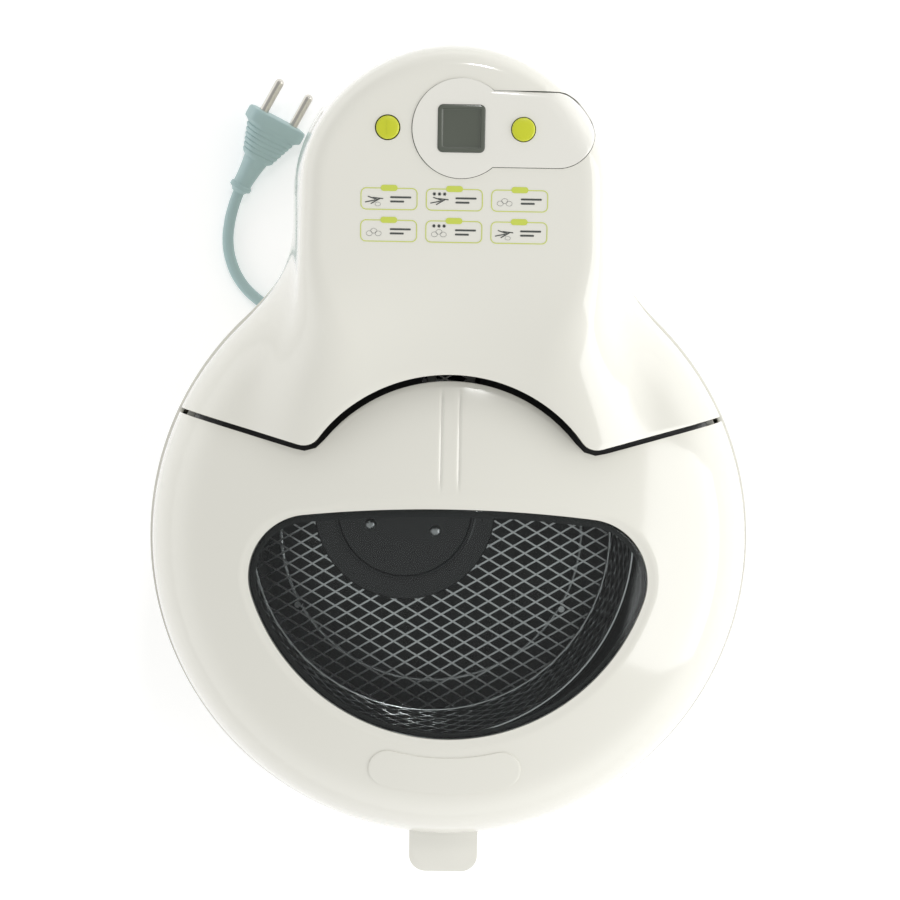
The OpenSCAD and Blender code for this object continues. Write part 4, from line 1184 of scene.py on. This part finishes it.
class FRYER_OT_controls(bpy.types.Operator):
    """Control inlay, display, buttons and blank guide labels"""
    bl_idname = "fryer.controls"
    bl_label = "Controls"

    def execute(self, context):
        self.inlay()
        self.display()
        self.button("on_off_button", "power_key", -BUTTON_X, True)
        self.button("timer_button", "timer_key", BUTTON_X, False)
        self.labels()
        return {"FINISHED"}

    def inlay(self):
        """The inlay follows the housing's surface and stands a little proud of it."""
        shares = [1, 0.98] + [0.95 * (1 - i / 12.4) for i in range(13)]
        rings = []
        for share in shares:
            ring = []
            for px, py in inlay_plan(0):
                x, y = px * share + INLAY_X, py * share + CONTROLS_Y
                ring.append((x, y + BOWL_Y, rear_height(x, y) + 0.6 * MM))
            rings.append(ring)
        bm = ring_stack(rings)
        close_hub(bm, INLAY_X, BOWL_Y + CONTROLS_Y, 5 * MM)
        inlay = to_piece(bm, "control_inlay", inside=(0, BOWL_Y + CONTROLS_Y, 0))
        thicken(inlay, 2 * MM, 0.4 * MM)
        window = slab(rounded_rect(20.3 * MM, 20.3 * MM, 2.3 * MM), -4 * MM, 4 * MM)
        carve(inlay, to_piece(on_panel(window, INLAY_X, CONTROLS_Y), "display_cut"))
        hole = slab(arc_points(0, 0, BUTTON_R + 0.35 * MM, 0, 354, 59), -4 * MM, 4 * MM)
        carve(inlay, to_piece(on_panel(hole, BUTTON_X, CONTROLS_Y), "button_cut"))
        place(inlay, "base", "inlay_plastic", ["panel_inlay"])

    def display(self):
        """Lens with a raised bevelled border."""
        bm = slab(rounded_rect(20 * MM, 20 * MM, 2.2 * MM), -1.4 * MM, 1 * MM)
        top = max(bm.faces, key=lambda f: f.calc_center_median().z)
        bmesh.ops.inset_region(bm, faces=[top], thickness=1.5 * MM, depth=0.2 * MM, use_even_offset=True)
        bmesh.ops.inset_region(bm, faces=[top], thickness=0.5 * MM, depth=-0.9 * MM, use_even_offset=True)
        round_edges(bm, 0.2 * MM, 2, 30)
        lens = to_piece(on_panel(bm, INLAY_X, CONTROLS_Y), "display_window", 30)
        place(lens, "base", "display_dark", ["display_lens"])

    def button(self, node, body, x, marked):
        """Round push button with a soft top edge, standing a little proud."""
        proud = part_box(node)[1].z - panel_z(centre(node).y - BOWL_Y) - 0.4 * MM
        foot = -3 * MM
        r = BUTTON_R
        soft = 0.9 * MM
        profile = [(0, foot), (r, foot), (r, proud - soft)]
        profile += arc_points(r - soft, proud - soft, soft, 0, 80, 5)
        profile += [(r - 2.2 * MM, proud + 0.1 * MM), (0, proud + 0.15 * MM)]
        parts = [spun(profile, (0, 0, 0), 48)]
        if marked:
            mark = slab(rounded_rect(0.7 * MM, 5.6 * MM, 0.3 * MM), proud - 0.3 * MM, proud + 0.3 * MM)
            parts.append(mark)
        bm = on_panel(join_bm(parts), x, CONTROLS_Y)
        place(to_piece(bm, "cap_" + node), body, "lime_plastic", [node])

    def labels(self):
        """Six thin frames, each with a tag, a plain sign and two bars where text would be."""
        frames, signs = [], []
        for row, y in enumerate((CONTROLS_Y - 30 * MM, CONTROLS_Y - 43.5 * MM)):
            for column, x in enumerate((-28 * MM, 0.0, 28 * MM)):
                frames.append(on_panel(self.frame_line(), x, y))
                tag = slab(rounded_rect(7.2 * MM, 2.6 * MM, 1.2 * MM), -0.3 * MM, 0.14 * MM)
                frames.append(on_panel(tag, x, y + 4.6 * MM))
                signs.append(on_panel(self.sign(row * 3 + column), x - 6.4 * MM, y - 0.4 * MM))
                for k in (0, 1):
                    bar = slab(rounded_rect((9 - 3 * k) * MM, 0.8 * MM, 0.35 * MM), -0.3 * MM, 0.1 * MM)
                    signs.append(on_panel(bar, x + (5 - 1.5 * k) * MM, y + (0.7 - 1.8 * k) * MM))
        lines = finish("label_lime", (0.55, 0.62, 0.09), (0.52, 0.59, 0.09), (0.3, 0.4))
        place(to_piece(join_bm(frames), "label_frames"), "base", "lime_plastic", ["guide_labels"], lines)
        ink = finish("label_ink", (0.05, 0.055, 0.05), (0.07, 0.075, 0.07), (0.4, 0.5))
        place(to_piece(join_bm(signs), "label_signs"), "base", "display_dark", ["guide_labels"], ink)

    def frame_line(self):
        """The thin frame of a label."""
        outline = rounded_rect(24.4 * MM, 9.4 * MM, 2.4 * MM)
        bm = slab(outline, -0.3 * MM, 0.12 * MM)
        top = max(bm.faces, key=lambda f: f.calc_center_median().z)
        low = min(bm.faces, key=lambda f: f.calc_center_median().z)
        bmesh.ops.inset_region(bm, faces=[top], thickness=0.35 * MM, use_even_offset=True)
        bmesh.ops.inset_region(bm, faces=[low], thickness=0.35 * MM, use_even_offset=True)
        rims = [top.edges[:], low.edges[:]]
        bmesh.ops.delete(bm, geom=[top, low], context="FACES_ONLY")
        bmesh.ops.bridge_loops(bm, edges=rims[0] + rims[1])
        return bm

    def ring(self, x, y, r, squash=1.0):
        """A thin ring, a plain sign."""
        outline = [(x + px, y + py * squash) for px, py in arc_points(0, 0, r, 0, 345, 23)]
        bm = slab(outline, -0.3 * MM, 0.1 * MM)
        top = max(bm.faces, key=lambda f: f.calc_center_median().z)
        bmesh.ops.inset_region(bm, faces=[top], thickness=0.28 * MM, use_even_offset=True)
        bmesh.ops.translate(bm, vec=(0, 0, -0.25 * MM), verts=top.verts)
        return bm

    def stick(self, x, y, angle, length):
        """A short bar, a plain sign."""
        bm = slab(rounded_rect(length, 0.45 * MM, 0.2 * MM), -0.3 * MM, 0.1 * MM)
        turn_z(bm, angle)
        bmesh.ops.translate(bm, vec=(x, y, 0), verts=bm.verts)
        return bm

    def sign(self, which):
        """Plain signs: sticks, rings, or both, as a food guide has."""
        parts = []
        if which in (0, 1, 5):
            for k, angle in enumerate((12, -18, 30, -6)):
                parts.append(self.stick((k - 1.5) * 1.1 * MM, (k % 2 - 0.5) * 1.3 * MM, angle, 4.6 * MM))
        if which in (2, 3, 4):
            for k in (0, 1, 2):
                parts.append(self.ring((k - 1) * 1.9 * MM, (k % 2) * 1.1 * MM - 0.8 * MM, 1.35 * MM, 0.8))
        if which in (1, 4):
            for k in (0, 1, 2):
                for angle in (0, 60, 120):
                    parts.append(self.stick((k - 1) * 2.2 * MM, 2.8 * MM, angle, 1.5 * MM))
        if which in (0, 5):
            parts.append(self.ring(1.6 * MM, -1.9 * MM, 1.2 * MM, 0.7))
        return join_bm(parts)


# ---------------------------------------------------------------- lid fittings, handle and feet

class FRYER_OT_round_cover(bpy.types.Operator):
    """Round black cover inside the lid, held by three cross-head screws"""
    bl_idname = "fryer.round_cover"
    bl_label = "Round cover"

    def execute(self, context):
        low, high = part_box("lid_deflector")
        r = (high.x - low.x) / 2
        at = ((low.x + high.x) / 2, low.y + r, 0)
        top = low.z + 10 * MM
        step = 31.5 * MM
        screws_r = 17 * MM
        profile = [(0, low.z + 6 * MM), (r - 4.4 * MM, low.z + 6 * MM), (r - 4.4 * MM, low.z)]
        profile += [(r - 3.4 * MM, low.z), (r - 3 * MM, low.z + 0.4 * MM), (r - 3 * MM, low.z + 7 * MM)]
        profile += [(r, top - 1.8 * MM), (r, top - 0.8 * MM), (r - 0.5 * MM, top - 0.3 * MM)]
        profile += [(step + 1.2 * MM, top - 0.3 * MM), (step + 0.5 * MM, top), (step, top + 0.9 * MM)]
        profile += [(step - 0.8 * MM, top + 1 * MM), (step - 1.6 * MM, top + 0.5 * MM)]
        profile += [(12 * MM, top + 0.9 * MM), (0, top + 1 * MM)]
        cover = to_piece(spun(profile, at, 120), "round_cover", 30)
        place(cover, "lid", "black_plastic", ["lid_deflector"], cover_gloss())
        heads = []
        for angle in (-35, 85, 205):
            turn = math.radians(angle)
            spot = (at[0] + screws_r * math.cos(turn), at[1] + screws_r * math.sin(turn), top + 0.8 * MM)
            heads.append(self.screw(spot, angle))
        screws = to_piece(join_bm(heads), "cover_screws", 30)
        place(screws, "lid", "turned_steel", ["deflector_screws"])
        return {"FINISHED"}

    def screw(self, spot, angle):
        """A pan-head screw with a cross recess."""
        head = [(0, -0.4 * MM), (2.6 * MM, -0.4 * MM), (2.6 * MM, 0.3 * MM), (2.2 * MM, 0.8 * MM),
                (1.3 * MM, 1.2 * MM), (0, 1.4 * MM)]
        piece = to_piece(spun(head, (0, 0, 0), 32), "screw_head")
        for turn in (0, 90):
            arm = box_mesh((-1.5 * MM, -0.3 * MM, 0.5 * MM), (1.5 * MM, 0.3 * MM, 3 * MM))
            turn_z(arm, turn)
            carve(piece, to_piece(arm, "cross"))
        bm = bmesh.new()
        bm.from_mesh(piece.data)
        bpy.data.objects.remove(piece)
        spin = Matrix.Translation(spot) @ Matrix.Rotation(math.radians(angle), 4, "Z")
        bmesh.ops.transform(bm, matrix=spin, verts=bm.verts)
        return bm


class FRYER_OT_latch(bpy.types.Operator):
    """Latch tongue with soft edges"""
    bl_idname = "fryer.latch"
    bl_label = "Latch"

    def execute(self, context):
        tongue = softened("lid_latch", "latch_tongue", 0.9 * MM, 3, 25)
        place(tongue, "latch", "white_shell", ["lid_latch"])
        return {"FINISHED"}


class FRYER_OT_handle(bpy.types.Operator):
    """Pan handle, release button and small parts with soft edges"""
    bl_idname = "fryer.handle"
    bl_label = "Handle and small parts"

    def execute(self, context):
        grip = softened("pan_handle", "handle_grip", 1.2 * MM, 3, 50)
        place(grip, "handle", "white_shell", ["pan_handle"])
        key = softened("handle_button", "release_key", 0.5 * MM, 2, 50)
        place(key, "handle_release", "grey_plastic", ["handle_button"])
        knuckles = softened("hinge_arms", "hinge_knuckles", 0.3 * MM, 2, 50)
        place(knuckles, "lid", "grey_plastic", ["hinge_arms"])
        pads = softened("seam_bumpers", "seam_pads", 0.3 * MM, 2, 50)
        place(pads, "base", "bumper_rubber", ["seam_bumpers"])
        return {"FINISHED"}


class FRYER_OT_feet(bpy.types.Operator):
    """Four moulded feet with a recess under each"""
    bl_idname = "fryer.feet"
    bl_label = "Feet"

    def execute(self, context):
        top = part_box("rubber_feet")[1].z
        feet = []
        for x, y in ((-82, -58), (82, -58), (-80, 50), (80, 50)):
            profile = [(0, 2 * MM), (3.6 * MM, 2 * MM), (4 * MM, 1.6 * MM), (4 * MM, 0.3 * MM)]
            profile += [(4.3 * MM, 0), (8.3 * MM, 0), (9 * MM, 0.7 * MM), (9.9 * MM, top - 0.5 * MM)]
            profile += [(9.6 * MM, top), (0, top)]
            feet.append(spun(profile, (x * MM, y * MM + BOWL_Y, 0), 48))
        place(to_piece(join_bm(feet), "moulded_feet", 30), "base", "foot_rubber", ["rubber_feet"])
        return {"FINISHED"}


# ---------------------------------------------------------------- cord and plug

class FRYER_PG_cord(bpy.types.PropertyGroup):
    """Sizes of the mains cord."""
    coil_outer: bpy.props.FloatProperty(
        name="Outer turn", description="Radius of the stored coil's outer turn", default=0.039, unit="LENGTH")
    coil_inner: bpy.props.FloatProperty(
        name="Inner turn", description="Radius of the stored coil's inner turn", default=0.027, unit="LENGTH")
    per_turn: bpy.props.IntProperty(
        name="Points per turn", description="Points along one turn of the coil", default=20, min=12)


# Places in millimetres from the bowl's axis: out of the gland and down to the table
LEAD = [(-39, 92, 8), (-39, 97, 7.5), (-39, 102, 6.2), (-39, 107, 4.8), (-39, 112, 3.7), (-39, 117, 3.1),
        (-39, 122, 3), (-39, 130, 3), (-39, 138, 3)]
# over the coil and the lead in a long low hump, out at the side and up to the plug
TAIL = [(-12, 111, 10.5), (-20, 111, 11), (-30, 111, 11.2), (-40, 111, 11), (-50, 111, 10), (-60, 111, 8),
        (-70, 111, 5.6), (-80, 112, 3.8), (-90, 113.5, 3.1), (-100, 117, 3), (-108, 122.5, 3),
        (-115, 130.5, 3), (-119.5, 140, 3), (-121.5, 150, 3), (-121, 160, 3.4), (-119, 169, 4.4),
        (-115, 180, 6.4)]


class FRYER_OT_cord(bpy.types.Operator):
    """Mains cord with its stored coil under the head, and its two-pin plug"""
    bl_idname = "fryer.cord"
    bl_label = "Cord and plug"

    def execute(self, context):
        sizes = context.scene.fryer_cord
        points = [Vector(p) * MM for p in LEAD] + self.coil(sizes) + [Vector(p) * MM for p in TAIL]
        points = [p + Vector((0, BOWL_Y, 0)) for p in points]
        line = bpy.data.curves.new("mains_cord", "CURVE")
        line.dimensions = "3D"
        line.bevel_depth = CORD_R
        line.bevel_resolution = 5
        line.use_fill_caps = True
        line.resolution_u = 4
        spline = line.splines.new("BEZIER")
        spline.bezier_points.add(len(points) - 1)
        for spot, p in zip(spline.bezier_points, points):
            spot.co = p
            spot.handle_left_type = "AUTO"
            spot.handle_right_type = "AUTO"
        cord = bpy.data.objects.new("mains_cord", line)
        context.scene.collection.objects.link(cord)
        place(cord, "base", "cord_sheath", ["cord_lead", "cord_coil", "cord_tube"])
        plug, pins = self.plug()
        tie = self.tie()
        return {"FINISHED"}

    def coil(self, sizes):
        """Two flat layers: inwards on the table, then outwards on top of the first."""
        points = []
        first, second = 2 * sizes.per_turn, int(1.75 * sizes.per_turn)
        for i in range(1, first + 1):
            part = i / first
            r = lerp(sizes.coil_outer, sizes.coil_inner, part)
            points.append(self.on_coil(180 - 720 * part, r, CORD_R))
        for i in range(1, second):
            part = i / second
            r = lerp(sizes.coil_inner, sizes.coil_outer, part)
            z = lerp(CORD_R, UPPER_TURNS_Z, smooth_step(0, 0.14, part))
            points.append(self.on_coil(180 - 630 * part, r, z))
        return points

    def on_coil(self, angle, r, z):
        """A place on the stored coil."""
        turn = math.radians(angle)
        return Vector((r * math.cos(turn), COIL_Y + r * math.sin(turn), z))

    def tie(self):
        """A flat tie round both layers of the coil."""
        low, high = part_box("cord_tie")
        outline = rounded_rect(high.x - low.x, high.z - low.z, 2.4 * MM, 8)
        rings = []
        wide = high.y - low.y
        for y, grow in ((0, 0.3), (0.4 * MM, 0), (wide - 0.4 * MM, 0), (wide, 0.3)):
            rings.append([(px * (1 - grow * 0.03), low.y + y, pz * (1 - grow * 0.03)) for px, pz in outline])
        bm = ring_stack(rings)
        at = (low + high) / 2
        bmesh.ops.translate(bm, vec=(at.x, 0, at.z), verts=bm.verts)
        tie = thicken(to_piece(bm, "coil_tie", inside=at), 0.8 * MM, 0.2 * MM)
        place(tie, "base", "tie_plastic", ["cord_tie"])
        return tie

    def plug(self):
        """Flat moulded plug: a ringed relief, a ribbed body and a wide face with two pins."""
        turn = Matrix.Rotation(math.radians(-30), 4, "Z") @ Matrix.Rotation(math.radians(-79), 4, "X")
        end = Vector(TAIL[-1]) * MM + Vector((0, BOWL_Y, 0))
        spot = Matrix.Translation(end) @ turn
        spot = spot @ Matrix.Rotation(math.radians(35), 4, "Z")
        # distance along, half width, half thickness, and how square the section is
        shape = [(-3, 3.4, 3.4, 2), (-1.5, 4.4, 4.4, 2), (-0.6, 6, 5.6, 2), (1.4, 6, 5.6, 2)]
        shape += [(2.2, 4.9, 4.8, 2.2), (6, 5, 4.9, 2.4), (12, 5.6, 5.3, 2.6), (17, 6.4, 5.8, 2.8)]
        shape += [(17.8, 7.6, 6.4, 3)]
        for k in range(6):
            z = 18.6 + 2.5 * k
            w = 8.2 + 0.95 * k
            shape += [(z, w, 6.5 + 0.3 * k, 3.4), (z + 0.7, w + 0.5, 6.6 + 0.3 * k, 3.4),
                      (z + 1.5, w + 0.6, 6.6 + 0.3 * k, 3.4), (z + 1.9, w + 0.2, 6.4 + 0.3 * k, 3.4)]
        shape += [(34.4, 14.6, 8, 4), (35.2, 16.2, 8.4, 4), (36, 16.5, 8.5, 4), (40.6, 16.5, 8.5, 4),
                  (41.6, 15.9, 8, 4), (42, 14.6, 7, 4)]
        rings = [self.section(*s) for s in shape]
        bm = cap_ends(ring_stack(rings))
        bmesh.ops.transform(bm, matrix=spot, verts=bm.verts)
        body = to_piece(bm, "plug_moulding", 34)
        place(body, "base", "cord_sheath", ["plug_body"])
        parts = []
        pin_r, pin_root, pin_tip = 2.4 * MM, 40 * MM, 58.6 * MM
        for side in (-1, 1):
            pin = [(0, pin_root), (pin_r, pin_root), (pin_r, pin_tip)]
            pin += arc_points(0, pin_tip, pin_r, 0, 90, 8)
            parts.append(spun(pin, (side * 9.5 * MM, 0, 0), 32))
        bm = join_bm(parts)
        bmesh.ops.transform(bm, matrix=spot, verts=bm.verts)
        pins = to_piece(bm, "plug_prongs")
        place(pins, "base", "pin_nickel", ["plug_pins"])
        return body, pins

    def section(self, z, w, t, square):
        """A rounded cross-section of the plug; square 2 is an ellipse."""
        ring = []
        for i in range(48):
            a = 2 * math.pi * i / 48
            c, s = math.cos(a), math.sin(a)
            ring.append((math.copysign(abs(c) ** (2 / square), c) * w * MM,
                         math.copysign(abs(s) ** (2 / square), s) * t * MM, z * MM))
        return ring


# ---------------------------------------------------------------- carried-over CAD pieces and stage

class FRYER_OT_cad_finishes(bpy.types.Operator):
    """Gives the CAD pieces that stay as they are the materials of their record slots"""
    bl_idname = "fryer.cad_finishes"
    bl_label = "Finishes of the CAD pieces"

    def execute(self, context):
        slots = {}
        for entry in frame["record"]["subparts"]:
            slots[entry["node"]] = entry["material_slot"]
        for name, node in frame["nodes"].items():
            node.data.materials.clear()
            node.data.materials.append(material_of(slots[name]))
        return {"FINISHED"}


# Lamps: name, place in metres, power in watts, width in metres
LAMPS = [("top", (2.2, -0.3, 1.5), 30, 2.0),
         ("strip", (0.14, 0.75, 1.5), 2, 0.12)]
LENS = 74
CAMERA_SPOT = (0, 0.0035, 1.0)
CAMERA_ROLL = math.radians(1.0)
FLOOR_GLOW = 0.3
HORIZON_LIGHT = 1.5
OVERHEAD_LIGHT = 0.5


class FRYER_OT_stage(bpy.types.Operator):
    """Pale floor, soft lights and a camera straight above"""
    bl_idname = "fryer.stage"
    bl_label = "Stage"

    def execute(self, context):
        scene = context.scene
        bm = bmesh.new()
        bmesh.ops.create_grid(bm, x_segments=2, y_segments=2, size=4)
        bmesh.ops.translate(bm, vec=(0, 0, -0.0005), verts=bm.verts)
        floor = to_piece(bm, "floor")
        pale = finish("floor_white", (0.9, 0.9, 0.9), (0.88, 0.88, 0.88), (0.6, 0.7))
        glow = pale.node_tree.nodes["Principled BSDF"]
        socket(glow, "Emission Color", (1, 1, 1, 1))
        socket(glow, "Emission Strength", FLOOR_GLOW)
        floor.data.materials.append(pale)
        for lamp in LAMPS:
            self.light(*lamp)
        world = bpy.data.worlds.new("studio")
        world.use_nodes = True
        self.sky(world.node_tree)
        scene.world = world
        scene.view_settings.view_transform = "Standard"
        eye = bpy.data.cameras.new("camera")
        eye.lens = LENS
        eye.sensor_width = 36
        camera = bpy.data.objects.new("camera", eye)
        scene.collection.objects.link(camera)
        camera.location = CAMERA_SPOT
        camera.rotation_euler = (0, 0, CAMERA_ROLL)
        scene.camera = camera
        return {"FINISHED"}

    def sky(self, tree):
        """A white studio, bright at the horizon and softer overhead."""
        where = tree.nodes.new("ShaderNodeTexCoord")
        height = tree.nodes.new("ShaderNodeSeparateXYZ")
        tree.links.new(where.outputs["Generated"], height.inputs[0])
        fade = tree.nodes.new("ShaderNodeMapRange")
        fade.interpolation_type = "SMOOTHSTEP"
        socket(fade, "From Min", 0.15)
        socket(fade, "From Max", 0.85)
        socket(fade, "To Min", HORIZON_LIGHT)
        socket(fade, "To Max", OVERHEAD_LIGHT)
        tree.links.new(height.outputs["Z"], fade.inputs["Value"])
        socket(tree.nodes["Background"], "Color", (1, 1, 1, 1))
        tree.links.new(fade.outputs["Result"], tree.nodes["Background"].inputs["Strength"])

    def light(self, name, spot, power, size):
        """A square soft lamp that looks at the fryer."""
        data = bpy.data.lights.new(name, "AREA")
        data.energy = power
        data.size = size
        lamp = bpy.data.objects.new(name, data)
        bpy.context.scene.collection.objects.link(lamp)
        lamp.location = spot
        aim = Vector((0, 0, 0.1)) - Vector(spot)
        lamp.rotation_euler = aim.to_track_quat("-Z", "Y").to_euler()


class FRYER_PT_panel(bpy.types.Panel):
    """Sidebar panel with the sizes and the steps"""
    bl_idname = "FRYER_PT_panel"
    bl_label = "Hot-air fryer"
    bl_space_type = "VIEW_3D"
    bl_region_type = "UI"
    bl_category = "Fryer"

    def draw(self, context):
        scene = context.scene
        for group in (scene.fryer_shells, scene.fryer_mesh, scene.fryer_cord):
            for name in group.bl_rna.properties.keys():
                if name not in ("rna_type", "name"):
                    self.layout.prop(group, name)
        for step in STEPS:
            self.layout.operator(step.bl_idname)


STEPS = (FRYER_OT_stage, FRYER_OT_cad_finishes, FRYER_OT_cord, FRYER_OT_lid, FRYER_OT_window,
         FRYER_OT_rear, FRYER_OT_base, FRYER_OT_basket, FRYER_OT_pan, FRYER_OT_controls,
         FRYER_OT_round_cover, FRYER_OT_latch, FRYER_OT_handle, FRYER_OT_feet)
GROUPS = (FRYER_PG_shells, FRYER_PG_mesh, FRYER_PG_cord)


def register():
    for kind in GROUPS + STEPS + (FRYER_PT_panel,):
        bpy.utils.register_class(kind)
    bpy.types.Scene.fryer_shells = bpy.props.PointerProperty(type=FRYER_PG_shells)
    bpy.types.Scene.fryer_mesh = bpy.props.PointerProperty(type=FRYER_PG_mesh)
    bpy.types.Scene.fryer_cord = bpy.props.PointerProperty(type=FRYER_PG_cord)


def unregister():
    for name in ("fryer_shells", "fryer_mesh", "fryer_cord"):
        delattr(bpy.types.Scene, name)
    for kind in reversed(GROUPS + STEPS + (FRYER_PT_panel,)):
        bpy.utils.unregister_class(kind)


def main():
    register()
    for step in STEPS:
        group, name = step.bl_idname.split(".")
        getattr(getattr(bpy.ops, group), name)()


if __name__ == "__main__":
    main()
